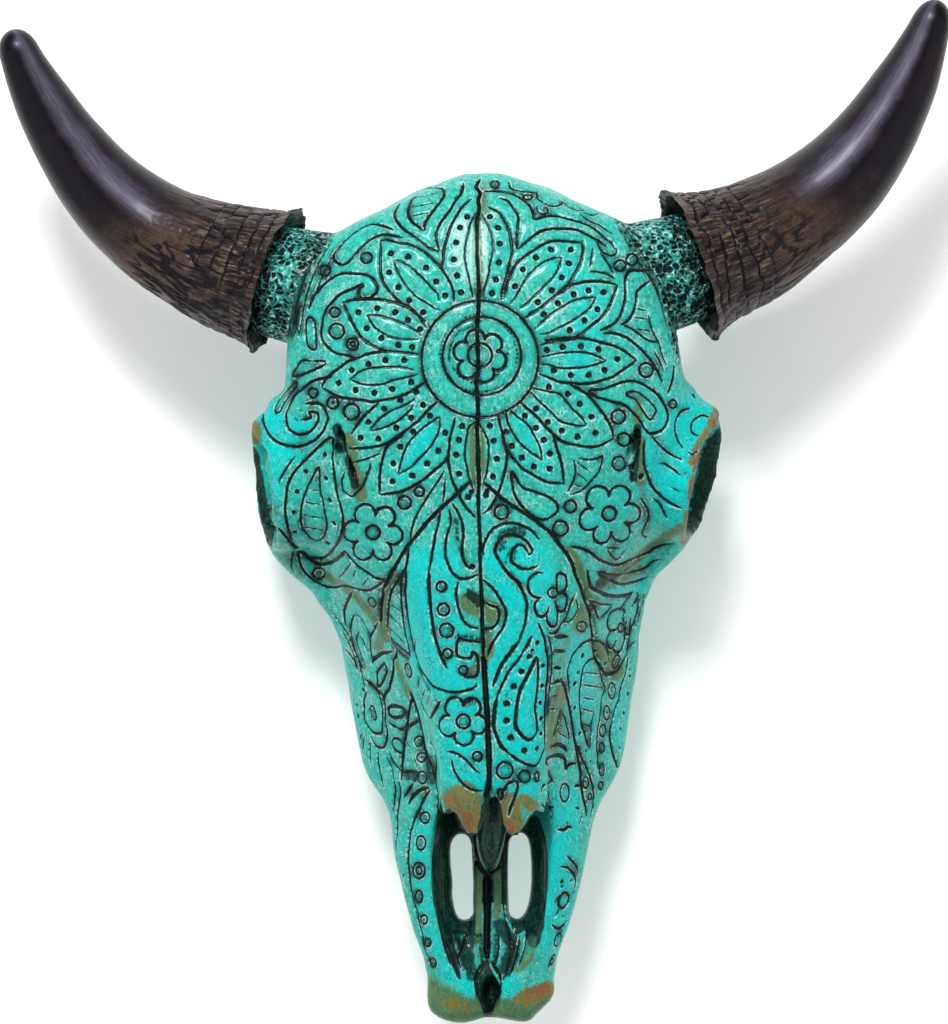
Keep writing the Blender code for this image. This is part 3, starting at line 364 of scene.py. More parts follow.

# Stains of the paint, with painted shade and painted glints, by tint: reach and strength, then a place in
# the picture and the steps from it
STAINS: dict[Tint, str] = {
    Tint.CYAN: """
    16,1 414,560 2,40 2,40 12,36 30,10; 26,0.75 440,560 5,60 10,40; 22,0.9 500,560 15,40 -10,50 -13,50;
    30,0.8 528,560 17,40 -15,40; 26,1 530,680 -10,40 5,25; 30,1 462,722 0,38 13,15; 20,0.8 500,770
    28,15; 26,1 262,420 13,15 25,5; 16,0.7 268,450 4,40; 34,0.85 660,470 30,-50 -10,80; 22,0.6 560,270
    30,35 -10,55; 14,0.6 520,420 25,45; 16,0.7 430,430 -25,40; 20,0.55 620,500 -20,25; 20,0.8 566,800
    -6,60 -4,80; 12,0.7 424,815 -4,55 8,60 22,45; 16,0.8 580,650 2,50; 14,0.9 465,985 45,0; 14,0.5
    625,700 -3,40; 12,0.8 618,590 22,-5
    """,
    # Pale paint, and painted glints of the varnish on the crown petals
    Tint.PALE_AND_GLINT: """
    16,0.8 462,225 4,25 4,25; 15,0.55 545,275 35,25; 12,0.9 480,222 0,63; 7,0.8 455,232 3,30; 16,0.4
    500,440 -20,80 20,20
    """,
    Tint.OLIVE: """
    9,0.65 479,215 0,40 0,35; 10,1 477,430 0,25 1,27; 8,0.8 483,192 -1,16; 9,0.95 346,438 6,12 -2,12
    7,18 3,15; 7,0.9 641,440 0,22 0,20; 15,0.95 470,603 22,9; 9,0.8 488,632 0,18 -14,22; 6,0.85 320,572
    30,20 16,16 12,16 6,16; 8,0.9 392,575 -8,17 -2,20 2,20; 8,0.8 382,634 -4,12; 5,0.7 394,656 6,19
    8,20; 7,1 570,552 8,14 6,19 8,21; 9,0.9 583,610 -3,18; 7,0.7 596,600 -2,30 6,30; 8,0.7 600,586 20,-4
    20,-12; 11,0.8 563,690 -7,25 -4,30; 7,0.55 568,640 -8,25; 7,0.85 256,426 1,14; 7,0.6 276,540 24,35;
    11,0.9 598,646 14,12 4,14; 20,1 430,994 16,10 16,9 12,1; 18,1 503,1013 23,-1 22,-15; 5.5,1 479,868
    -1,32 0,40; 5.5,1 497,868 1,22 -1,25; 5,0.6 478,940 -1,25; 9,0.7 532,940 -4,18 -10,10; 9,0.6 326,232
    -14,30 -12,30 -9,44; 9,0.6 626,230 19,32 17,28 10,38; 8,0.7 640,400 -4,20; 8,0.8 468,786 12,14;
    10,0.5 428,960 2,25; 5,0.6 266,458 4,20 3,19 4,17; 7,0.85 606,582 19,-14 20,-16 17,-12 18,-12; 5,0.6
    641,485 4,20 3,25; 9,0.5 276,548 8,18; 9,0.6 458,945 8,20
    """,
    Tint.RUST: """
    6,0.45 606,650 8,12; 8,0.9 467,818 -1,10; 7,0.7 459,812 -7,-14; 8,0.9 506,824 2,6; 7,1 530,994
    14,-6; 3.5,1 719,412 -6,18 -10,17 -7,15 -4,18 -2,20 0,20; 4,0.8 700,505 4,15 -2,12; 5,0.6 485,182
    -1,14 3,16
    """,
    Tint.OCHRE: """
    19,1 458,800 12,18; 17,1 506,806 4,20; 9,0.8 524,800 8,6; 8,0.7 446,1002 20,6; 11,0.9 524,998 21,-8;
    5,0.8 716,410 -8,18 -10,18 -6,16; 6,0.9 688,515 -1,13 -3,12; 6,0.9 254,425 1,15
    """,
    # Dark stains, and painted shade in the nose openings, the brow slots, the notch at the nose tip and
    # beside each sheath's lip
    Tint.SOOT_AND_SHADE: """
    11,0.6 322,232 -16,30 -12,34 -6,34; 11,0.5 632,232 23,38 17,40 8,25; 3,0.6 604,588 18,-14 18,-14;
    6,0.6 462,955 4,13 8,8; 4,0.6 480,935 2,25; 4,0.6 496,935 -2,27; 3,1 487.5,872 0,43 0,47; 4,0.9
    471.5,862 -0.5,33 1,35 -3,30; 9,0.62 458,936 8,14 6,25; 10,0.66 500,925 12,20 -7,23; 2.4,0.62
    517,354 -4,16 -11,14 -15,7 -17,0 -16,-7 -10,-14 -4,-16; 2.4,0.5 440,354 4,-17 10,-13 16,-8 17,0 15,8
    11,13 4,17; 3,0.6 507,354 -3,12 -8,10 -11,6 -13,0 -12,-6 -8,-10 -3,-12 3,-13 8,-10 12,-6; 5,0.9
    281,226 -9,36 -7,33 -6,39; 9,1 662,203 18,22 10,25 10,30 8,32; 5,0.8 487,1004 0,16; 6,0.9 337,428
    5,20; 5,0.9 348,460 7,25; 5,0.9 638,428 -4,50; 6,0.75 600,584 12,-6; 7,0.8 470,594 10,8; 8,0.55
    462,638 16,2; 8,0.5 514,552 -6,8; 9,0.6 500,545 5,-10 15,-3; 7,0.6 407,776 7,1; 8,0.6 428,760 2,20;
    5,0.5 455,520 3,25 10,17
    """,
}

# Painted shade on the insides that the camera sees, as outlines: a place in the picture and the steps from
# it
DARK_FIELDS = """
    446,811 -9,11 -4,26 -2,23 1,23 4,21 5,21 6,20 10,22 5,4 -3,-17 -5,-17 -1,-14 9,0 8,0 3,-29 11,-2 3,2
    4,-2 17,2 4,23 4,8 8,-6 4,15 6,5 6,-7 4,-17 2,-22 2,-27 0,-21 -3,-22 -6,-17 -9,-3 -9,16 -9,5 -8,-1
    -5,-8 -3,-11 -4,-15 -2,-10 -6,0 -2,10 -2,15 -3,18 -8,0 -8,-5 -6,-12 -5,-8; 722,424 -13,14 -8,12
    -5,20 -4,20 -4,22 0,18 7,13 11,-9 6,-22 6,-24 9,-26 1,-24; 487,958 -7,15 -5,15 0,8 8,15 4,3 9,-8
    6,-14 -6,-13 -6,-13; 250,447 3,23 3,17 2,16 2,17 2,12 4,13 6,6 1,-10 2,-12 -3,-10 -4,-16 -3,-16
    -3,-17 -4,-18 -4,-6
"""


def curve_through(places: Sequence[Sequence[float]], step: float, closed: bool = False) -> Array:
    """A smooth course through places.

    Args:
        places: The places, in order.
        step: About how far apart the points of the result are.
        closed: Whether the course returns to its start.

    Returns:
        The points of the course.
    """
    rows = np.array(places, float)
    if closed:
        ends = np.vstack([rows[-1], rows, rows[:2]])
    else:
        ends = np.vstack([2 * rows[0] - rows[1], rows, 2 * rows[-1] - rows[-2]])
    out = []
    for i in range(len(ends) - 3):
        a, b, c, d = ends[i : i + 4]
        count = max(1, int(np.linalg.norm(c - b) / step))
        for t in np.arange(count) / count:
            bend = (2 * a - 5 * b + 4 * c - d) * t**2 + (3 * b - a - 3 * c + d) * t**3
            out.append(0.5 * (2 * b + (c - a) * t + bend))
    out.append(ends[-2])
    return np.array(out)


def oval_course(x: float, y: float, across: float, up: float, tilt: float) -> Array:
    """A closed oval in the picture.

    Args:
        x: Middle, across.
        y: Middle, down.
        across: Half its width.
        up: Half its height.
        tilt: Its turn in degrees.

    Returns:
        The points of the oval.
    """
    turns = np.linspace(0, 2 * math.pi, max(16, int(12 * (across + up) / 2)))
    c, s = math.cos(math.radians(tilt)), math.sin(math.radians(tilt))
    wide, high = across * np.cos(turns), up * np.sin(turns)
    return np.column_stack([x + c * wide - s * high, y + s * wide + c * high])


def numbers(text: str) -> list[tuple[float, ...]]:
    """The groups of numbers in a text: spaces part the groups and commas part their numbers."""
    return [tuple(float(value) for value in group.split(",")) for group in text.split()]


def courses(text: str) -> list[str]:
    """The courses in a text, which semicolons part."""
    return [course.strip() for course in text.split(";")]


def course_of(text: str) -> Array:
    """The smooth course that a text lists, closed if it ends with z."""
    places = np.cumsum(numbers(text.rstrip("z ")), axis=0)
    return curve_through(places, LINE_STEP, text.endswith("z"))


def depth_inside(places: Array, outline: Array) -> Array:
    """How far places lie inside an outline, less than 0 outside.

    Args:
        places: Places in the picture.
        outline: The corners of the outline.

    Returns:
        One distance for each place.
    """
    inside = np.zeros(len(places), bool)
    nearest = np.full(len(places), FAR)
    x, y = places.T
    for (ax, ay), (bx, by) in zip(outline, np.roll(outline, -1, axis=0)):
        if ay != by:
            inside ^= ((ay > y) != (by > y)) & (x < (bx - ax) * (y - ay) / (by - ay) + ax)
        long = (bx - ax) ** 2 + (by - ay) ** 2
        share = np.clip(((x - ax) * (bx - ax) + (y - ay) * (by - ay)) / long, 0, 1)
        nearest = np.minimum(nearest, np.hypot(x - ax - share * (bx - ax), y - ay - share * (by - ay)))
    return np.where(inside, nearest, -nearest)


def smooth_step(values: Array, low: float, high: float) -> Array:
    """A smooth rise from 0 at low to 1 at high."""
    share = np.clip((values - low) / (high - low), 0, 1)
    return share * share * (3 - 2 * share)


@dataclass(frozen=True)
class PictureView:
    """Where the camera stands, and how a place in the picture meets the model."""

    width: int = 948
    height: int = 1024
    lens: float = 100.0
    sensor: float = 36.0
    pixel: float = 0.594
    level: float = 120.0
    roll: float = math.radians(0.85)
    east: float = -3.618
    north: float = 8.831

    @property
    def reach(self) -> float:
        """The height of the camera over the level at which a pixel has its stated size."""
        return self.height * self.pixel * self.lens / self.sensor

    @property
    def eye(self) -> Array:
        """The camera's place in millimetres."""
        return np.array((self.east, self.north, self.level + self.reach))

    def rays(self, places: Array) -> Array:
        """The headings from the camera through places of the picture.

        Args:
            places: Places across and down.

        Returns:
            A unit vector for each.
        """
        across = (places[:, 0] - self.width / 2) * self.pixel
        up = (self.height / 2 - places[:, 1]) * self.pixel
        c, s = math.cos(self.roll), math.sin(self.roll)
        rays = np.column_stack([across * c + up * s, up * c - across * s, np.full(len(up), -self.reach)])
        return rays / np.linalg.norm(rays, axis=1)[:, None]

    def places(self, points: Array) -> Array:
        """Where points of the model are in the picture.

        Args:
            points: Points in millimetres.

        Returns:
            Places across and down.
        """
        x, y, z = (points - self.eye).T
        c, s = math.cos(self.roll), math.sin(self.roll)
        scale = -self.reach / (z * self.pixel)
        across, up = (x * c - y * s) * scale, (x * s + y * c) * scale
        return np.column_stack([self.width / 2 + across, self.height / 2 - up])

    def place_camera(self) -> bpy.types.Object:
        """Adds the camera, looking straight down at the skull.

        Returns:
            The camera object.
        """
        data = bpy.data.cameras.new("camera")
        data.type = "PERSP"
        data.lens = self.lens
        data.sensor_width = self.sensor
        data.clip_start = 0.05
        data.clip_end = 20
        camera = bpy.data.objects.new("camera", data)
        bpy.context.scene.collection.objects.link(camera)
        camera.location = Vector(self.eye * MM)
        camera.rotation_euler = (0, 0, -self.roll)
        bpy.context.scene.camera = camera
        return camera


class Grain:
    """Seeded noise on arrays of points."""

    def __init__(self, seed: int) -> None:
        """Draws the tables that the noise reads.

        Args:
            seed: What the draw starts from.
        """
        draw = np.random.default_rng(seed)
        self.order = draw.permutation(256)
        self.values = draw.random((256, 3))

    def _pick(self, cells: Array) -> Array:
        """The table row for each whole-number cell."""
        x, y, z = (cells & 255).T
        return self.order[(self.order[(self.order[x] + y) & 255] + z) & 255]

    def clouds(self, points: Array, size: float) -> Array:
        """Soft noise from -1 to 1.

        Args:
            points: Where it is read.
            size: The size of its blots.

        Returns:
            One value for each point.
        """
        scaled = points / size
        cell = np.floor(scaled).astype(int)
        share = scaled - cell
        share = share * share * (3 - 2 * share)
        total = np.zeros(len(points))
        for corner in np.ndindex(2, 2, 2):
            weight = np.prod(np.where(corner, share, 1 - share), axis=1)
            total += weight * self.values[self._pick(cell + np.array(corner)), 0]
        return 2 * total - 1

    def cells(self, points: Array, size: float) -> tuple[Array, Array]:
        """Distances to the nearest and second nearest of seeds strewn one to a cell.

        Args:
            points: Where it is read.
            size: The size of a cell.

        Returns:
            Both distances, in cells.
        """
        scaled = points / size
        cell = np.floor(scaled).astype(int)
        first, second = np.full(len(points), 9.0), np.full(len(points), 9.0)
        for corner in np.ndindex(3, 3, 3):
            home = cell + np.array(corner) - 1
            seed = home + self.values[self._pick(home)]
            gap = np.linalg.norm(seed - scaled, axis=1)
            second = np.minimum(second, np.maximum(first, gap))
            first = np.minimum(first, gap)
        return first, second


class Shape:
    """One mesh object while it is being made."""

    def __init__(self, obj: bpy.types.Object) -> None:
        """Keeps the object."""
        self.obj = obj

    @classmethod
    def copy_of(cls, node: str, name: str) -> Shape:
        """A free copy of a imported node, with its loose triangles joined.

        Args:
            node: The node's name.
            name: The new piece's name.

        Returns:
            The new shape.
        """
        source = bpy.data.objects[node]
        made = bpy.data.objects.new(name, source.data.copy())
        made.data.name = name
        made.data.materials.clear()
        bpy.context.scene.collection.objects.link(made)
        shape = cls(made)
        shape.edit(lambda: bpy.ops.mesh.remove_doubles(threshold=1e-5))
        return shape

    @classmethod
    def from_faces(cls, name: str, points: Array, faces: list[Sequence[int]]) -> Shape:
        """A new shape from points in millimetres and the corners of its faces.

        Args:
            name: The new piece's name.
            points: Its vertices.
            faces: The vertices of each face.

        Returns:
            The new shape.
        """
        mesh = bpy.data.meshes.new(name)
        mesh.from_pydata((points * MM).tolist(), [], faces)
        made = bpy.data.objects.new(name, mesh)
        bpy.context.scene.collection.objects.link(made)
        return cls(made)

    def select(self) -> None:
        """Selects this object alone."""
        bpy.ops.object.select_all(action="DESELECT")
        self.obj.select_set(True)
        bpy.context.view_layer.objects.active = self.obj

    def edit(self, work: Any, everything: bool = True, by: str = "VERT") -> None:
        """Runs mesh operators in edit mode.

        Args:
            work: What to run.
            everything: Whether all of the mesh is selected for it.
            by: The kind of element that is selected.
        """
        self.select()
        chosen = tuple(kind == by for kind in ("VERT", "EDGE", "FACE"))
        bpy.context.scene.tool_settings.mesh_select_mode = chosen
        bpy.ops.object.mode_set(mode="EDIT")
        if everything:
            bpy.ops.mesh.select_all(action="SELECT")
        work()
        bpy.ops.object.mode_set(mode="OBJECT")

    def modify(self, kind: str, **settings: Any) -> None:
        """Adds one modifier with these settings and applies it.

        Args:
            kind: The kind of modifier.
            settings: What is set on it.
        """
        self.select()
        modifier = self.obj.modifiers.new(kind.title(), kind)
        for key, value in settings.items():
            setattr(modifier, key, value)
        bpy.ops.object.modifier_apply(modifier=modifier.name)

    def choose(self, edges: Array | None = None, faces: Array | None = None) -> None:
        """Selects only these edges, or only these faces with their corners.

        Args:
            edges: Whether each edge is selected.
            faces: Whether each face is selected.
        """
        mesh = self.obj.data
        for kind in (mesh.vertices, mesh.edges, mesh.polygons):
            kind.foreach_set("select", np.zeros(len(kind), bool))
        if edges is not None:
            mesh.edges.foreach_set("select", edges)
            ends = np.unique(self.edges()[edges])
            flags = np.zeros(len(mesh.vertices), bool)
            flags[ends] = True
            mesh.vertices.foreach_set("select", flags)
        if faces is not None:
            mesh.polygons.foreach_set("select", faces)

    def _read(self, items: Any, key: str, width: int, kind: type = np.float32) -> Array:
        """Reads one row of numbers for each element of the mesh.

        Args:
            items: The elements.
            key: What is read of each.
            width: How many numbers it has.
            kind: Their kind.

        Returns:
            One row for each element.
        """
        flat = np.empty(len(items) * width, kind)
        items.foreach_get(key, flat)
        return flat.reshape(-1, width)

    def points(self) -> Array:
        """Every vertex, in millimetres."""
        return self._read(self.obj.data.vertices, "co", 3).astype(float) / MM

    def set_points(self, points: Array) -> None:
        """Moves every vertex."""
        self.obj.data.vertices.foreach_set("co", (points * MM).astype(np.float32).ravel())
        self.obj.data.update()

    def normals(self) -> Array:
        """The smooth normal at every vertex."""
        return self._read(self.obj.data.vertices, "normal", 3).astype(float)

    def edges(self) -> Array:
        """The two ends of every edge."""
        return self._read(self.obj.data.edges, "vertices", 2, np.int32)

    def face_centres(self) -> Array:
        """The middle of every face, in millimetres."""
        return self._read(self.obj.data.polygons, "center", 3).astype(float) / MM

    def tree(self) -> BVHTree:
        """A search tree of the shape, in metres."""
        return BVHTree.FromObject(self.obj, bpy.context.evaluated_depsgraph_get())

    def triangles(self) -> int:
        """How many triangles the mesh has."""
        return sum(len(face.vertices) - 2 for face in self.obj.data.polygons)

    def triangulate(self) -> None:
        """Cuts every face into triangles."""
        self.edit(lambda: bpy.ops.mesh.quads_convert_to_tris(quad_method="SHORTEST_DIAGONAL"))

    def note(self, name: str, values: Array) -> None:
        """Stores one number for each vertex as an attribute.

        Args:
            name: The attribute's name.
            values: Its numbers.
        """
        mesh = self.obj.data
        held = mesh.attributes.get(name) or mesh.attributes.new(name, "FLOAT", "POINT")
        held.data.foreach_set("value", values.astype(np.float32))

    def noted(self, name: str) -> Array:
        """Reads one attribute back.

        Args:
            name: The attribute's name.

        Returns:
            One number for each vertex.
        """
        held = self.obj.data.attributes[name]
        values = np.empty(len(held.data), np.float32)
        held.data.foreach_get("value", values)
        return values.astype(float)

    def spread(self, values: Array, times: int) -> Array:
        """Softens one number for each vertex along the edges.

        Args:
            values: One number for each vertex.
            times: How often it is softened.

        Returns:
            The softened numbers.
        """
        ends = self.edges()
        count = np.bincount(ends.ravel(), minlength=len(values))
        for _ in range(times):
            total = np.bincount(ends[:, 0], values[ends[:, 1]], len(values))
            total += np.bincount(ends[:, 1], values[ends[:, 0]], len(values))
            values = 0.5 * values + 0.5 * total / np.maximum(count, 1)
        return values


class Traces:
    """Carved lines laid on the bone: points along them, with the width and depth of the cut."""

    cell = 2.0
    margin = 12
    widened = 3
    taper = 4.5
    uneven = 0.16

    def __init__(self) -> None:
        """Starts empty."""
        self.points: list[Array] = []
        self.facing: list[Array] = []
        self.half: list[float] = []
        self.depth: list[float] = []
        self.linked: list[bool] = []
        self.hand = Grain(29)
        self.search: KDTree | None = None

    def add(self, points: Array, facing: Array, half: float, depth: float) -> None:
        """Adds one run of points that follow each other, finer at its ends and uneven as if cut by hand.

        Args:
            points: The points, in order.
            facing: The way the bone faces at each.
            half: Half the width of the cut.
            depth: Its depth.
        """
        steps = np.linalg.norm(np.diff(points, axis=0), axis=1)
        along = np.append(0, np.cumsum(steps))
        weight = 1 + self.uneven * self.hand.clouds(points, 8)
        if np.linalg.norm(points[0] - points[-1]) > 1.0:
            weight *= 0.55 + 0.45 * smooth_step(np.minimum(along, along[-1] - along), 0, self.taper)
        self.points += list(points)
        self.facing += list(facing)
        self.half += list(half * weight)
        self.depth += list(depth * weight)
        self.linked += [True] * (len(points) - 1) + [False]

    def close(self) -> None:
        """Turns the lists into arrays and builds the search tree."""
        self.at = np.array(self.points)
        self.out = np.array(self.facing)
        self.halves = np.array(self.half)
        self.depths = np.array(self.depth)
        self.next = np.array(self.linked)
        self.search = KDTree(len(self.at))
        for index, point in enumerate(self.at):
            self.search.insert(point, index)
        self.search.balance()
        self.low = self.at.min(axis=0) - self.margin * self.cell
        size = ((self.at.max(axis=0) - self.low) / self.cell).astype(int) + self.margin + 2
        self.crowd = np.zeros(size)
        np.add.at(self.crowd, self._cells(self.at), 1.0)
        for axis in range(3):
            self.crowd = self.crowd + np.roll(self.crowd, 1, axis) + np.roll(self.crowd, -1, axis)
        reached = self.crowd > 0
        for _ in range(self.widened):
            for axis in range(3):
                reached = reached | np.roll(reached, 1, axis) | np.roll(reached, -1, axis)
        self.reached = reached

    def _cells(self, points: Array) -> tuple[Array, ...]:
        """The cell of the coarse grid that each point is in."""
        cells = ((points - self.low) / self.cell).astype(int)
        return tuple(np.clip(cells, 0, np.array(self.crowd.shape) - 1).T)

    def crowding(self, points: Array) -> Array:
        """How many carved points lie round each point."""
        return self.crowd[self._cells(points)]

    def measure(self, points: Array, normals: Array) -> tuple[Array, ...]:
        """How far each point is from the nearest line.

        Args:
            points: Points on the bone.
            normals: The way the bone faces there.

        Returns:
            The distance, the half width, the depth and the foot of each on its line.
        """
        near = np.zeros(len(points), int)
        close = np.flatnonzero(self.reached[self._cells(points)])
        near[close] = [self.search.find(point)[1] for point in points[close]]
        foot = self.at[near].copy()
        best = np.full(len(points), FAR)
        best[close] = np.linalg.norm(points[close] - foot[close], axis=1)
        last = len(self.at) - 1
        for start, end in ((near, np.minimum(near + 1, last)), (np.maximum(near - 1, 0), near)):
            joined = self.next[start] & (start != end)
            along = self.at[end] - self.at[start]
            length = np.maximum((along**2).sum(axis=1), 1e-9)
            share = np.clip(((points - self.at[start]) * along).sum(axis=1) / length, 0, 1)
            place = self.at[start] + share[:, None] * along
            gap = np.linalg.norm(points - place, axis=1)
            closer = joined & (gap < best) & (best < FAR)
            best = np.where(closer, gap, best)
            foot[closer] = place[closer]
        best[(self.out[near] * normals).sum(axis=1) < 0.0] = FAR
        return best, self.halves[near], self.depths[near], foot


@dataclass
class Carving:
    """All carved ornament of the skull, laid on the smooth bone."""

    view: PictureView
    lines: Traces = field(default_factory=Traces)
    folds: Traces = field(default_factory=Traces)
    discs: list[tuple[Array, float]] = field(default_factory=list)
    gap: float = 0.3
    jump: float = 7.0
    fold_half: float = 2.6
    fold_depth: float = 1.3
    disc_depth: float = 1.1
    flower_dot: float = 3.1

    def lay(self, tree: BVHTree) -> None:
        """Lays every line, ring and dot on the bone.

        Args:
            tree: The search tree of the smooth bone.
        """
        for table in (FLOWER_LINES, BROW_LINES, NOSE_LINES, JAW_LINES, CRACK_LINES, HOLLOW_LINES):
            for cut, texts in table.items():
                for text in courses(texts):
                    self._line(tree, course_of(text), cut)
        for text in courses(LEAF_LOBES):
            self._line(tree, course_of(text), Cut.LINE)
        for x, y, radius in numbers(RINGS):
            self._line(tree, oval_course(x, y, radius, radius, 0), Cut.RING)
        for x, y, across, up, tilt in numbers(OVALS):
            self._line(tree, oval_course(x, y, across, up, tilt), Cut.FINE)
        for rosette in ROSETTES:
            for course in rosette.courses():
                self._line(tree, course, Cut.LINE)
        for x, y in np.cumsum(numbers(FLOWER_DOTS), axis=0):
            self._disc(tree, x, y, self.flower_dot)
        for x, y, radius in numbers(SMALL_DOTS):
            self._disc(tree, x, y, radius)
        for text in courses(FOLD_LINES):
            for points, facing in self._runs(tree, course_of(text)):
                self.folds.add(points, facing, self.fold_half, self.fold_depth)
        self.lines.close()
        self.folds.close()

    def middle(self, tree: BVHTree) -> tuple[Array, Array]:
        """The course of the long crack, as places along Y and across X.

        Args:
            tree: The search tree of the smooth bone.

        Returns:
            The places along Y, rising, and the places across.
        """
        texts = [text for group in CRACK_LINES.values() for text in courses(group)]
        laid = np.vstack([points for text in texts for points, _ in self._runs(tree, course_of(text))])
        laid = laid[np.argsort(laid[:, 1])]
        return laid[:, 1], laid[:, 0]

    def _hits(self, tree: BVHTree, places: Array) -> list[tuple[Array, Array] | None]:
        """Where rays through places of the picture meet the bone, with its normal there.

        Args:
            tree: The search tree of the smooth bone.
            places: Places in the picture.

        Returns:
            The point and normal for each place, or None where the ray misses.
        """
        eye = Vector(self.view.eye * MM)
        out = []
        for ray in self.view.rays(places):
            place, normal, _, _ = tree.ray_cast(eye, Vector(ray))
            out.append(None if place is None else (np.array(place) / MM, np.array(normal)))
        return out

    def _runs(self, tree: BVHTree, places: Array) -> list[tuple[Array, Array]]:
        """The unbroken runs of a course on the bone, with points close enough to each other.

        Args:
            tree: The search tree of the smooth bone.
            places: The course in the picture.

        Returns:
            The points and normals of each run.
        """
        runs: list[list[tuple[Array, Array]]] = [[]]
        for hit in self._hits(tree, places):
            if hit is None:
                runs.append([])
                continue
            if runs[-1]:
                before = runs[-1][-1]
                far = float(np.linalg.norm(hit[0] - before[0]))
                if far > self.jump:
                    runs.append([])
                else:
                    count = int(far / self.gap)
                    for share in np.arange(1, count + 1) / (count + 1):
                        middle = before[0] + share * (hit[0] - before[0])
                        place, normal, _, _ = tree.find_nearest(Vector(middle * MM))
                        runs[-1].append((np.array(place) / MM, np.array(normal)))
            runs[-1].append(hit)
        kept = [run for run in runs if len(run) > 1]
        return [(np.array([p for p, _ in run]), np.array([n for _, n in run])) for run in kept]

    def _line(self, tree: BVHTree, places: Array, cut: Cut) -> None:
        """Lays one line on the bone."""
        for points, facing in self._runs(tree, places):
            self.lines.add(points, facing, *cut.value)

    def _disc(self, tree: BVHTree, x: float, y: float, radius: float) -> None:
        """Lays one dot on the bone.

        Args:
            tree: The search tree of the smooth bone.
            x: Its place, across.
            y: Its place, down.
            radius: Its radius in the picture.
        """
        hit = self._hits(tree, np.array([(x, y)]))[0]
        if hit is not None:
            self.discs.append((hit[0], radius * self.view.pixel))

    def dots(self, points: Array) -> tuple[Array, Array]:
        """How far each point is outside the nearest dot, and how deep the dot is there.

        Args:
            points: Points on the bone.

        Returns:
            The distance to the rim, less than 0 inside, and the depth.
        """
        edge, depth = np.full(len(points), FAR), np.zeros(len(points))
        for centre, radius in self.discs:
            close = np.flatnonzero(np.abs(points - centre).max(axis=1) < radius + 3)
            gap = np.linalg.norm(points[close] - centre, axis=1)
            edge[close] = np.minimum(edge[close], gap - radius)
            bowl = np.clip(1.15 - (gap / radius) ** 2, 0, 1)
            depth[close] = np.maximum(depth[close], self.disc_depth * bowl)
        return edge, depth


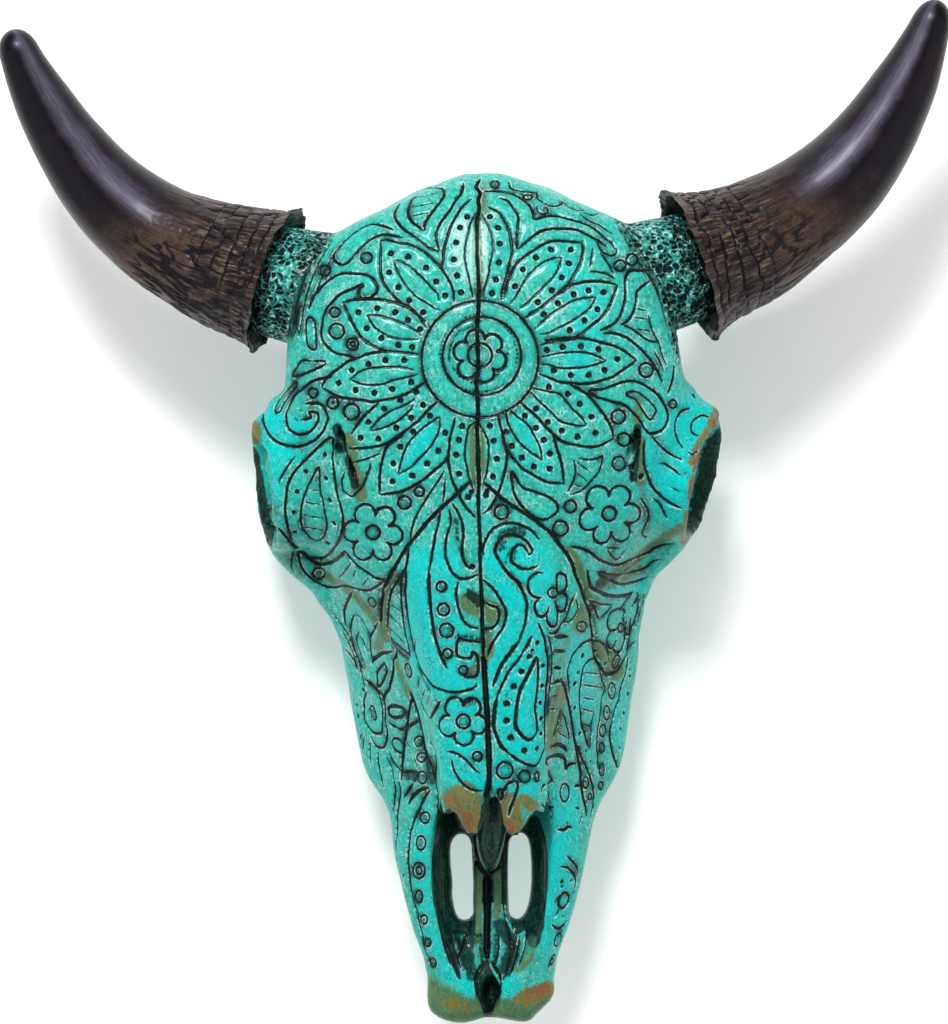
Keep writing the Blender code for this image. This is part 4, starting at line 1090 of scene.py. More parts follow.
@dataclass
class SkullBone:
    """The skull bone: its skin, its carving, and what its paint needs to know at every point."""

    view: PictureView
    carving: Carving
    node: str = "skull"
    voxel: float = 2.2
    rounding: int = 5
    fine: float = 1.05
    reach: float = 1.3
    hidden_share: float = 0.36
    splits: int = 4
    snap: float = 0.36
    merge: float = 0.22
    pillow: float = 0.85
    pillow_reach: float = 2.4
    pit_size: float = 3.5
    pit_depth: float = 1.7
    pit_fine: float = 0.85
    # How far out the pits reach, and between which distances out they open
    pit_end: float = 134.0
    pit_mouth: tuple[float, float] = (112, 134)
    pit_wall: float = 0.19
    seed: int = 11
    # The pitted neck of a horn: its border as places along Y and distances out, least height, and front
    neck_border: tuple[tuple[float, ...], tuple[float, ...]] = (
        (95, 107, 114, 137, 150, 162, 175, 190),
        (118, 112, 113, 107, 102, 90, 83, 80),
    )
    neck_floor: tuple[float, float] = (66, 76)
    neck_front: tuple[float, float] = (88, 98)
    # Between which distances out the bone is painted in shade under a sheath, and where its middle is
    under_sheath: tuple[float, float] = (125, 138)
    middle: float = 2.0
    # The open sky over a point: how many rays feel for it, how far, from how high, and their draw
    sky: int = 14
    sky_reach: float = 45.0
    sky_lift: float = 0.8
    sky_seed: int = 4

    def build(self) -> list[Shape]:
        """Makes the carved bone.

        Returns:
            Its pieces, with the attributes that the paint reads.
        """
        shape = Shape.copy_of(self.node, "carved_skull_left_muzzle")
        shape.modify("REMESH", mode="VOXEL", voxel_size=self.voxel * MM)
        shape.modify("SMOOTH", iterations=self.rounding, factor=0.5)
        self._nudge(shape)
        tree = shape.tree()
        self.carving.lay(tree)
        self._thin_hidden(shape, tree)
        self._mark_openness(shape)
        self._refine(shape)
        self._snap(shape)
        self._carve(shape)
        shape.obj.data.shade_smooth()
        pieces = self._part(shape, *self.carving.middle(tree))
        for piece in pieces:
            LOG.info("%s: %d triangles", piece.obj.name, piece.triangles())
        return pieces

    def _nudge(self, shape: Shape) -> None:
        """Moves the outline a little to where the picture has it.

        Args:
            shape: The skin.
        """
        points = shape.points()
        places = self.view.places(points)
        for x, y, right, down, reach, lowest in numbers(NUDGES):
            pull = self.view.pixel * np.exp(-((places - (x, y)) ** 2).sum(axis=1) / reach**2)
            pull *= smooth_step(points[:, 2], lowest - 8, lowest + 4)
            points[:, 0] += pull * right
            points[:, 1] -= pull * down
        shape.set_points(points)

    def _part(self, shape: Shape, along: Array, across: Array) -> list[Shape]:
        """Parts the skin along the crack and across the brow; each piece keeps the normals of the whole.

        Args:
            shape: The whole skin.
            along: Places on the crack along Y.
            across: Its places along X.

        Returns:
            The four pieces.
        """
        turns = ("turn_x", "turn_y", "turn_z")
        for name, values in zip(turns, shape.normals().T):
            shape.note(name, values)
        brow = np.median(shape.face_centres()[:, 1])
        pieces = [shape]
        for word, right, crown in (("right_crown", 1, 1), ("right_muzzle", 1, 0), ("left_crown", 0, 1)):
            centres = shape.face_centres()
            chosen = (centres[:, 0] > np.interp(centres[:, 1], along, across)) == right
            chosen &= (centres[:, 1] > brow) == crown
            shape.choose(faces=chosen)
            shape.edit(lambda: bpy.ops.mesh.separate(type="SELECTED"), everything=False, by="FACE")
            (other,) = [obj for obj in bpy.context.selected_objects if obj is not shape.obj]
            other.name = other.data.name = f"carved_skull_{word}"
            pieces.append(Shape(other))
        for piece in pieces:
            normals = np.column_stack([piece.noted(name) for name in turns])
            piece.obj.data.normals_split_custom_set_from_vertices(normals.tolist())
            for name in turns:
                piece.obj.data.attributes.remove(piece.obj.data.attributes[name])
        return pieces

    def _seen(self, points: Array, tree: BVHTree) -> Array:
        """Whether the camera sees each point.

        Args:
            points: The points.
            tree: The search tree of the bone.

        Returns:
            Whether each is seen.
        """
        eye = self.view.eye
        out = np.zeros(len(points), bool)
        for index, point in enumerate(points):
            ray = Vector(eye - point).normalized()
            out[index] = tree.ray_cast(Vector(point * MM) + ray * 0.6 * MM, ray)[0] is None
        return out

    def _thin_hidden(self, shape: Shape, tree: BVHTree) -> None:
        """Takes triangles from what the camera doesn't see, and cuts the rest into triangles.

        Args:
            shape: The skin.
            tree: Its search tree.
        """
        seen = self._seen(shape.face_centres(), tree)
        shape.choose(faces=~seen)
        shape.edit(lambda: bpy.ops.mesh.decimate(ratio=self.hidden_share), everything=False, by="FACE")
        shape.triangulate()

    def _mark_openness(self, shape: Shape) -> None:
        """Stores how much open sky each point of the bone has.

        Args:
            shape: The skin.
        """
        tree = shape.tree()
        points, normals = shape.points(), shape.normals()
        draw = np.random.default_rng(self.sky_seed)
        headings = draw.normal(size=(self.sky, 3))
        headings /= np.linalg.norm(headings, axis=1)[:, None]
        blocked = np.zeros(len(points))
        for index, (point, normal) in enumerate(zip(points, normals)):
            start = Vector((point + self.sky_lift * normal) * MM)
            for heading in headings:
                ray = heading + 1.05 * normal
                if tree.ray_cast(start, Vector(ray), self.sky_reach * MM)[0] is not None:
                    blocked[index] += 1
        openness = 1 - blocked / self.sky
        seen = self._seen(points + 0.3 * normals, tree).astype(float)
        shape.note("open", shape.spread(openness, 3))
        shape.note("seen", shape.spread(seen, 2))

    def _in_neck(self, points: Array) -> Array:
        """How far each point lies in the pitted neck of a horn, from 0 to 1.

        Args:
            points: Points on the bone.

        Returns:
            One share for each.
        """
        border = np.interp(points[:, 1], *self.neck_border)
        inside = smooth_step(np.abs(points[:, 0]) - border, -2.5, 2.5)
        above = smooth_step(points[:, 2], *self.neck_floor)
        return inside * above * smooth_step(points[:, 1], *self.neck_front)

    def _ink(self, shape: Shape) -> tuple[Array, ...]:
        """The distances that shape and colour the carving, at every vertex.

        Args:
            shape: The skin.

        Returns:
            Points, normals, what the nearest line is there, and the distance and depth of the nearest dot.
        """
        points = shape.points()
        normals = np.column_stack([shape.spread(part, 2) for part in shape.normals().T])
        normals /= np.maximum(np.linalg.norm(normals, axis=1), 1e-6)[:, None]
        gap, half, depth, foot = self.carving.lines.measure(points, normals)
        rim, bowl = self.carving.dots(points)
        return points, normals, gap, half, depth, foot, rim, bowl

    def _refine(self, shape: Shape) -> None:
        """Splits long edges along the carving and on the pitted necks.

        Args:
            shape: The skin.
        """
        for _ in range(self.splits):
            points, _, gap, half, _, _, rim, _ = self._ink(shape)
            near = np.minimum(gap - half, rim) < self.reach
            necks = (self._in_neck(points) > 0.4) & (np.abs(points[:, 0]) < self.pit_end)
            ends = shape.edges()
            length = np.linalg.norm(points[ends[:, 0]] - points[ends[:, 1]], axis=1)
            long = (length > self.fine) & (near[ends[:, 0]] | near[ends[:, 1]])
            long |= (length > self.pit_fine) & (necks[ends[:, 0]] | necks[ends[:, 1]])
            if not long.any():
                break
            shape.choose(edges=long)
            cut = partial(bpy.ops.mesh.subdivide, number_cuts=1, quadcorner="INNERVERT")
            shape.edit(cut, everything=False, by="EDGE")
            shape.triangulate()

    def _snap(self, shape: Shape) -> None:
        """Pulls vertices that lie close to the middle of a line onto it, and merges those that meet.

        Args:
            shape: The skin.
        """
        points, _, gap, half, _, foot, _, _ = self._ink(shape)
        close = gap < self.snap
        points[close] = foot[close]
        shape.set_points(points)
        shape.edit(lambda: bpy.ops.mesh.remove_doubles(threshold=self.merge * MM))

    def _carve(self, shape: Shape) -> None:
        """Cuts the grooves, dots, folds and pits, and stores what the paint reads.

        Args:
            shape: The skin.
        """
        points, normals, gap, half, depth, _, rim, bowl = self._ink(shape)
        shape.note("ink", np.clip(np.minimum(gap - half, rim), -2, 8))
        sink = depth * smooth_step(-gap, -1.7 * half, -0.1 * half)
        sink = np.maximum(sink, bowl)
        crowd = np.clip((self.carving.lines.crowding(points) - 14) / 46, 0, 1)
        shape.note("crowd", shape.spread(crowd, 8))
        # Painted shade deep in the eye sockets and nose and under the horn sheaths
        shape.note("dark", self._painted_shade_share(points))
        edge = np.minimum(np.maximum(gap - half, 0), np.maximum(rim, 0))
        sink += self.pillow * np.exp(-edge / self.pillow_reach)
        fold, fold_half, fold_depth, _ = self.carving.folds.measure(points, normals)
        sink += fold_depth * np.exp(-((fold / fold_half) ** 2))
        grain = Grain(self.seed)
        neck = self._in_neck(points)
        warp = np.column_stack([grain.clouds(points + shift, 4.2) for shift in (0, 40, 80)])
        first, second = grain.cells(points + 1.5 * warp, self.pit_size)
        mouth = smooth_step(np.abs(points[:, 0]), *self.pit_mouth)
        wall = self.pit_wall - 0.12 * mouth + 0.16 * grain.clouds(points, 3.0)
        wall = wall + 0.1 * grain.clouds(points, 9)
        pit = (wall - (second - first)) * self.pit_size * 0.7
        sink += self.pit_depth * neck * smooth_step(-pit, -0.3, 0.9)
        shape.note("pit", np.where(neck > 0.2, pit + (1 - neck) * 1.6, 8.0))
        sink += 0.16 * grain.clouds(points, 9) + 0.1 * grain.clouds(points, 3.4)
        self._stain(shape, points)
        shape.set_points(points - sink[:, None] * normals)

    def _painted_shade_share(self, points: Array) -> Array:
        """How much painted shade the bone gets for lying deep in it or under a horn sheath, from 0 to 1.

        Args:
            points: Points on the bone.

        Returns:
            One share for each.
        """
        dark = smooth_step(np.abs(points[:, 0]), *self.under_sheath)
        dark *= smooth_step(points[:, 1], *self.neck_front)
        mirrored = points.copy()
        mirrored[:, 0] = np.abs(points[:, 0] - self.middle)
        for x, y, z, reach in numbers(DARK_ROOMS):
            gap = np.linalg.norm(mirrored - (x, y, z), axis=1)
            dark = np.maximum(dark, smooth_step(reach - gap, -4, 3))
        return dark

    def _stain(self, shape: Shape, points: Array) -> None:
        """Stores the tints of the paint, with the painted shade and painted glints, where the camera sees
        them.

        Args:
            shape: The skin.
            points: Its points.
        """
        places = self.view.places(points)
        seen = np.clip(shape.noted("seen"), 0, 1)
        amounts = {tint: np.zeros(len(points)) for tint in Tint}
        for tint, texts in STAINS.items():
            for text in courses(texts):
                (reach, strength), *stops = numbers(text)
                course = curve_through(np.cumsum(stops, axis=0), STAIN_STEP)
                gap = np.full(len(points), FAR)
                low, high = course.min(axis=0) - 1.6 * reach, course.max(axis=0) + 1.6 * reach
                close = np.flatnonzero((seen > 0.05) & ((places > low) & (places < high)).all(axis=1))
                for place in course:
                    gap[close] = np.minimum(gap[close], np.linalg.norm(places[close] - place, axis=1))
                amount = strength * smooth_step(-gap, -1.4 * reach, -0.35 * reach)
                amounts[tint] = np.maximum(amounts[tint], amount)
        # Painted shade on the dark insides that the camera sees
        for text in courses(DARK_FIELDS):
            depth = depth_inside(places, np.cumsum(numbers(text), axis=0))
            amounts[Tint.HOLLOW] = np.maximum(amounts[Tint.HOLLOW], smooth_step(depth, -1.5, 2))
        for tint, amount in amounts.items():
            shape.note(tint.value, amount * seen)


@dataclass(frozen=True)
class HornSheath:
    """One hollow horn sheath over its bone core: cracked in rings at its mouth, polished to its tip."""

    side: int
    word: str
    # How its line is moved: distance across, move out, move up, and growth of the radius
    fit: tuple[tuple[float, float, float, float], ...]
    # How strong the blocks and the long cracks are
    blocks: float
    veins: float
    # How far the back of the lip lies beyond its front
    tuck: float
    # How green the paint inside its mouth is
    green: float
    drift: float
    seed: int
    around: int = 256
    worn: float = 92.0
    fine: float = 0.55
    coarse: float = 1.3
    cap: float = 15.0
    cap_rings: int = 14
    # Middle of the sheath as (x, y, z, radius), on the +X side, before the model's drift and centring
    line: tuple[tuple[float, ...], ...] = (
        (119, 144.5, 118, 43.0), (131, 148.5, 115.5, 40.5), (145, 153, 112.5, 38.8),
        (159, 158, 110, 36.8), (173, 164.5, 108.5, 34.6), (187, 173, 107.5, 32.3),
        (200, 183, 107.5, 29.9), (213, 195, 109, 27.2), (224.5, 208, 111, 24.8),
        (235, 222.5, 114, 22.4), (245, 237.5, 117, 20.2), (254, 253, 120.5, 17.8),
        (262, 269, 124.5, 14.8), (268, 283, 128, 12.2), (273, 297.5, 131.5, 10.8),
    )
    lean: float = 0.0175
    centring: tuple[float, float] = (1.25, 4.6)
    # The inside, as distance from the lip and thickness of the wall
    walls: tuple[tuple[float, float], ...] = (
        (0.3, 1.3), (1.2, 2.0), (2.6, 2.8), (5, 3.6), (8, 4.6),
        (16, 6.2), (24, 6.8), (34, 8.5), (44, 12), (50, 18),
    )
    # Ring cracks, as distance from the lip and strength
    rings: tuple[tuple[float, float], ...] = ((6.5, 0.8), (14, 1), (22.5, 0.95), (33, 0.85), (44, 0.45))
    flare: float = 2.4
    flare_reach: float = 2.6
    roundness: float = 2.4
    crack_depth: float = 1.2
    crack_half: float = 1.05
    block_pitch: float = 10.5
    # Where blocks, long cracks, roughness and swollen edges fade, as distances from the lip below zero
    block_fade: tuple[float, float] = (-62, -44)
    vein_fade: tuple[float, float] = (-105, -62)
    rough_fade: tuple[float, float] = (-105, -40)
    swell_fade: tuple[float, float] = (-70, -40)
    swell_depth: float = 0.55
    swell_reach: float = 1.8

    def build(self) -> Shape:
        """Makes the sheath.

        Returns:
            Its shape, with the attributes that its finish reads.
        """
        middle, radius, length = self._course()
        total = length[-1]
        dome = total - self.cap * (1 - np.sin(np.linspace(0, math.pi / 2, self.cap_rings)))
        smooth = np.arange(self.worn + self.coarse / 2, total - self.cap - self.coarse / 2, self.coarse)
        shaft = np.append(np.arange(0, self.worn, self.fine), smooth)
        stations = np.append(shaft, dome)
        stations[-1] -= 0.02
        centre = np.column_stack([np.interp(stations, length, middle[:, i]) for i in range(3)])
        reach = np.interp(stations, length, radius) + self.flare * np.exp(-stations / self.flare_reach)
        left = np.clip((total - stations) / self.cap, 0, 1)
        reach = reach * np.sqrt(1 - (1 - left) ** self.roundness)
        turns = np.linspace(0, 2 * math.pi, self.around, endpoint=False)
        across, up, ahead = self._frames(centre)
        cosine, sine = np.cos(turns)[None, :, None], np.sin(turns)[None, :, None]
        outward = cosine * across[:, None] + sine * up[:, None]
        outer = centre[:, None] + reach[:, None, None] * outward
        flat = outer.reshape(-1, 3)
        place = np.repeat(stations, self.around)
        high = np.tile(-self.side * np.cos(turns), len(stations))
        turned = np.tile(turns, len(stations))
        sink, crack = self._relief(flat, place, high, turned, np.repeat(reach, self.around))
        flat = flat - sink[:, None] * outward.reshape(-1, 3)
        inner = []
        for depth, wall in self.walls:
            index = int(np.searchsorted(stations, depth))
            inner.append(centre[index] + (reach[index] - wall) * outward[index])
        held = np.repeat([depth for depth, _ in self.walls], self.around)
        points = np.vstack([np.array(inner)[::-1].reshape(-1, 3), flat])
        marks = np.append(held[::-1], place)
        lip = Grain(self.seed + 5)
        wavy = 1.6 * lip.clouds(points, 9) + 0.8 * lip.clouds(points, 3.5)
        wavy *= np.clip(1 - marks / 6, 0, 1)
        rows = len(inner) + len(stations)
        wavy += self.tuck * (0.5 - 0.5 * np.sin(np.tile(turns, rows))) * smooth_step(-marks, -40, 0)
        points = points + wavy[:, None] * ahead[0]
        shape = self._skin(points, rows)
        # How far in past the lip each inner ring lies: the finish paints shade there, and the teal inside
        lined = smooth_step(held[::-1], 0.6, 3.0) + 0.01
        teal = self.green * lined * smooth_step(high[: len(held)], -0.3, 0.4)
        unlined, bare = np.zeros(len(flat)), np.zeros(len(held))
        shape.note("along", np.concatenate([marks, [total, total]]))
        for name, within, without in (
            ("crack", bare, crack), ("high", bare, high), ("facing", bare, np.sin(turned)),
            ("inside", lined, unlined), ("teal", teal, unlined),
        ):
            shape.note(name, np.concatenate([within, without, [0, 0]]))
        shape.obj.data.shade_smooth()
        LOG.info("%s: %d triangles", shape.obj.name, shape.triangles())
        return shape

    def _course(self) -> tuple[Array, Array, Array]:
        """The middle line, the radius and the length along it.

        Returns:
            The points of the line, the radius at each and its distance from the lip.
        """
        fit = np.array(self.fit)
        rows = np.array(self.line)
        for column, moves in ((1, fit[:, 2]), (3, fit[:, 3]), (0, fit[:, 1])):
            rows[:, column] += np.interp(rows[:, 0], fit[:, 0], moves)
        course = curve_through(rows, 0.9)
        middle = self._placed(course[:, :3])
        length = np.append(0, np.cumsum(np.linalg.norm(np.diff(middle, axis=0), axis=1)))
        return middle, course[:, 3], length

    def _placed(self, points: Array) -> Array:
        """Points of the +X side brought to this horn's side and place, as the solid's are.

        Args:
            points: The points.

        Returns:
            The moved points.
        """
        x, y, z = points.T
        x = self.side * x
        share = np.clip((np.abs(x) - 120) / 60, 0, 1)
        above = np.clip((y + 150) / 200, 0, 1)
        bend = np.interp(y, (120, 210), (1.0, 2.5))
        moved = x + bend * (1 - share) + self.drift * share
        along = y + self.lean * x * above + self.centring[1]
        return np.column_stack([moved + self.centring[0], along, z])

    def _frames(self, centre: Array) -> tuple[Array, Array, Array]:
        """Unit vectors across, up and ahead at each station, without twist.

        Args:
            centre: The points of the middle line.

        Returns:
            The three vectors at each.
        """
        tangents = np.gradient(centre, axis=0)
        tangents /= np.linalg.norm(tangents, axis=1)[:, None]
        side = np.cross(tangents[0], (0, 0, 1))
        across, up = [], []
        for tangent in tangents:
            side = side - tangent * (side @ tangent)
            side = side / np.linalg.norm(side)
            across.append(side)
            up.append(np.cross(side, tangent))
        return np.array(across), np.array(up), tangents

    def _relief(
        self, points: Array, place: Array, high: Array, turned: Array, reach: Array
    ) -> tuple[Array, Array]:
        """How deep rings, blocks, long cracks and wear cut into the horn, and where it is cracked.

        Args:
            points: Points of the smooth horn.
            place: Their distances from the lip.
            high: How far each is on the upper edge, from -1 to 1.
            turned: Their angles.
            reach: The radius there.

        Returns:
            The depth and the share of crack, for each point.
        """
        grain = Grain(self.seed)
        warped = place + 3.4 * grain.clouds(points, 21) + 1.4 * grain.clouds(points, 7)
        warped = warped + 0.5 * grain.clouds(points, 2.8)
        upper = smooth_step(high, -0.55, 0.25)
        gap = np.full(len(points), FAR)
        crack = np.zeros(len(points))
        for index, (station, strength) in enumerate(self.rings):
            near = np.abs(warped - station)
            gap = np.minimum(gap, near / strength)
            broken = smooth_step(grain.clouds(points + 31.0 * index, 13), -0.75, -0.1)
            weight = strength * broken * (self.blocks + (1 - self.blocks) * upper)
            crack = np.maximum(crack, weight * smooth_step(-near, -self.crack_half, -0.1))
        side_gap, side_weight = self._blocks(grain, points, warped, turned, reach)
        zone = smooth_step(-warped, *self.block_fade) * smooth_step(warped, 1, 5)
        side_weight = side_weight * zone * (0.25 * self.blocks + (1 - 0.25 * self.blocks) * upper)
        crack = np.maximum(crack, side_weight * smooth_step(-side_gap, -self.crack_half, -0.1))
        gap = np.minimum(gap, side_gap / np.maximum(side_weight, 0.05))
        stretched = np.column_stack([place * 0.1, reach * np.cos(turned), reach * np.sin(turned)])
        wave = grain.clouds(stretched, 4.2) + 0.3 * grain.clouds(stretched, 2.0)
        span = smooth_step(-place, *self.vein_fade) * smooth_step(place, 2, 6)
        lower = 1 - 0.8 * upper
        vein = self.veins * span * lower * smooth_step(grain.clouds(points + 50, 9), -0.6, -0.1)
        crack = np.maximum(crack, vein * smooth_step(-np.abs(wave), -0.2, -0.03))
        thin = np.abs(grain.clouds(stretched + 77, 3.0))
        crack = np.maximum(crack, 0.85 * vein * smooth_step(-thin, -0.2, -0.03))
        rough = smooth_step(-place, *self.rough_fade)
        swelling = np.exp(-gap / self.swell_reach) * smooth_step(-place, *self.swell_fade)
        sink = self.crack_depth * crack + self.swell_depth * swelling
        coarse = 0.4 * grain.clouds(points, 9) + 0.2 * grain.clouds(points, 3.1)
        sink += rough * (coarse + 0.5 * grain.clouds(stretched, 4))
        sink += 0.25 * grain.clouds(points, 24)
        return sink, crack

    def _blocks(
        self, grain: Grain, points: Array, warped: Array, turned: Array, reach: Array
    ) -> tuple[Array, Array]:
        """How far each point is from the nearest crack between blocks of its ring, and its strength.

        Args:
            grain: The noise.
            points: Points of the smooth horn.
            warped: Their uneven distances from the lip.
            turned: Their angles.
            reach: The radius there.

        Returns:
            The distance and the strength, for each point.
        """
        band = np.searchsorted([station for station, _ in self.rings], warped)
        count = np.maximum(np.round(2 * math.pi * reach / self.block_pitch), 8)
        spot = turned / (2 * math.pi) * count + 0.22 * grain.clouds(points, 7)
        home = np.floor(spot).astype(int)
        best, weight = np.full(len(points), FAR), np.zeros(len(points))
        for step in (-1, 0, 1):
            cell = home + step
            drawn = grain.values[(cell % 41 * 7 + band * 53 + 11) & 255]
            away = np.abs(spot - cell - 0.1 - 0.8 * drawn[:, 0]) * self.block_pitch
            closer = away < best
            best = np.where(closer, away, best)
            weight = np.where(closer, smooth_step(drawn[:, 1], 0.1, 0.55), weight)
        return best, weight

    def _skin(self, points: Array, rows: int) -> Shape:
        """Joins the rings with quads and closes both ends with a fan.

        Args:
            points: The points, ring after ring.
            rows: How many rings there are.

        Returns:
            The closed shape.
        """
        count = self.around
        grid = np.arange(rows * count).reshape(rows, count)
        after = np.roll(grid, -1, axis=1)
        faces = np.stack([grid[:-1], after[:-1], after[1:], grid[1:]], axis=-1).reshape(-1, 4).tolist()
        made = np.vstack([points, points[:count].mean(axis=0), points[-count:].mean(axis=0)])
        faces += [(int(b), int(a), rows * count) for a, b in zip(grid[0], after[0])]
        faces += [(int(a), int(b), rows * count + 1) for a, b in zip(grid[-1], after[-1])]
        shape = Shape.from_faces(f"horn_sheath_{self.word}", made, faces)
        shape.edit(lambda: bpy.ops.mesh.normals_make_consistent(inside=False))
        return shape


SHEATHS = (
    HornSheath(
        1, "right",
        (
            (119, 0, 1.0, 2.0), (145, 0, 1.0, 0.4), (173, 0, 1.7, 0.6), (190, 0.3, 1.4, 0.3),
            (215, 1.5, 0, 1.8), (235, 2.2, -0.5, 1.6), (255, 1.5, 0, 0.8), (273, -0.6, 0, -0.6),
        ),
        blocks=0.7, veins=0.5, tuck=10.0, green=0.0, drift=1.0, seed=4,
    ),
    HornSheath(
        -1, "left",
        (
            (119, 0, 0, 0), (145, 0, 1.0, -0.3), (175, 0, 2.8, -1.3), (193, 0, 2.6, -1.2),
            (212, 0, 1.6, -0.2), (228, 0, 1.2, 0.1), (245, -0.8, 0.6, -0.2), (273, -2.2, 0, 0.2),
        ),
        blocks=0.12, veins=1.0, tuck=7.0, green=1.0, drift=-3.0, seed=2,
    ),
)


class Value:
    """A number, colour or vector inside a material, which adds nodes when it is worked with."""

    def __init__(self, nodes: Nodes, socket: bpy.types.NodeSocket) -> None:
        """Keeps the socket and the builder that owns it."""
        self.nodes = nodes
        self.socket = socket

    def _math(self, operation: str, *terms: Any) -> Value:
        """One Math node on these terms."""
        return self.nodes.add("ShaderNodeMath", {"operation": operation}, dict(enumerate(terms)))

    def __add__(self, other: Any) -> Value:
        """Their sum."""
        return self._math("ADD", self, other)

    __radd__ = __add__

    def __sub__(self, other: Any) -> Value:
        """This less the other."""
        return self._math("SUBTRACT", self, other)

    def __rsub__(self, other: Any) -> Value:
        """The other less this."""
        return self._math("SUBTRACT", other, self)

    def __mul__(self, other: Any) -> Value:
        """Their product."""
        return self._math("MULTIPLY", self, other)

    __rmul__ = __mul__

    def most(self, other: Any) -> Value:
        """The larger of the two."""
        return self._math("MAXIMUM", self, other)

    def under(self, above: Value | Shade, share: Value) -> Value:
        """This colour with another over it, as far as the share says."""
        return self.nodes.mix(self, above, share)

    def rise(self, low: float, high: float) -> Value:
        """A smooth rise from 0 at low to 1 at high.

        Args:
            low: Where it starts; it may be the larger one.
            high: Where it ends.

        Returns:
            The share.
        """
        ends = (low, high, 0.0, 1.0) if low < high else (high, low, 1.0, 0.0)
        settings = {"interpolation_type": "SMOOTHSTEP"}
        return self.nodes.add("ShaderNodeMapRange", settings, {0: self, **dict(enumerate(ends, 1))})


class Nodes:
    """Builds the nodes of one material."""

    def __init__(self, name: str) -> None:
        """Starts a new material with an empty shader tree.

        Args:
            name: The material's name.
        """
        self.material = bpy.data.materials.new(name)
        self.material.use_nodes = True
        self.tree = self.material.node_tree
        self.tree.nodes.clear()

    def add(self, kind: str, settings: dict[str, Any], inputs: dict[Any, Any], output: Any = 0) -> Value:
        """Adds one node.

        Args:
            kind: The node's type.
            settings: Its settings, set before its sockets.
            inputs: Values or links for its sockets, by name or index.
            output: The name or index of the socket to return.

        Returns:
            The output as a value.
        """
        node = self.tree.nodes.new(kind)
        for key, value in settings.items():
            setattr(node, key, value)
        for key, value in inputs.items():
            if isinstance(value, Value):
                self.tree.links.new(value.socket, node.inputs[key])
            else:
                node.inputs[key].default_value = value
        return Value(self, node.outputs[output])

    def attribute(self, name: str) -> Value:
        """One number stored on the mesh."""
        return self.add("ShaderNodeAttribute", {"attribute_name": name}, {}, "Fac")

    def place(self, stretch: tuple[float, float, float] = (1, 1, 1)) -> Value:
        """Object coordinates, scaled along each axis."""
        where = self.add("ShaderNodeTexCoord", {}, {}, "Object")
        return self.add("ShaderNodeMapping", {}, {"Vector": where, "Scale": stretch})

    def noise(self, where: Value, scale: float, detail: float = 2.0, rough: float = 0.5) -> Value:
        """Soft noise from 0 to 1."""
        inputs = {"Vector": where, "Scale": scale, "Detail": detail, "Roughness": rough}
        return self.add("ShaderNodeTexNoise", {}, inputs, "Fac")

    def colour(self, shade: Shade) -> tuple[float, float, float, float]:
        """A colour as light, from its values on a screen."""
        light = [((v / 255 + 0.055) / 1.055) ** 2.4 if v > 10 else v / 3295 for v in shade]
        return (*light, 1.0)

    def mix(self, below: Value | Shade, above: Value | Shade, share: Value) -> Value:
        """One colour over another, each a value or a shade."""
        layers = [layer if isinstance(layer, Value) else self.colour(layer) for layer in (below, above)]
        settings = {"data_type": "RGBA", "clamp_factor": True}
        return self.add("ShaderNodeMix", settings, {0: share, 6: layers[0], 7: layers[1]}, 2)

    def bump(self, height: Value, strength: float, distance: float) -> Value:
        """A normal from a height."""
        inputs = {"Height": height, "Strength": strength, "Distance": distance}
        return self.add("ShaderNodeBump", {}, inputs, "Normal")

    def surface(self, inputs: dict[str, Any]) -> bpy.types.Material:
        """Ends the material with one glossy surface.

        Args:
            inputs: The values or links of the surface.

        Returns:
            The finished material.
        """
        shader = self.add("ShaderNodeBsdfPrincipled", {}, inputs, "BSDF")
        ending = self.tree.nodes.new("ShaderNodeOutputMaterial")
        self.tree.links.new(shader.socket, ending.inputs["Surface"])
        return self.material


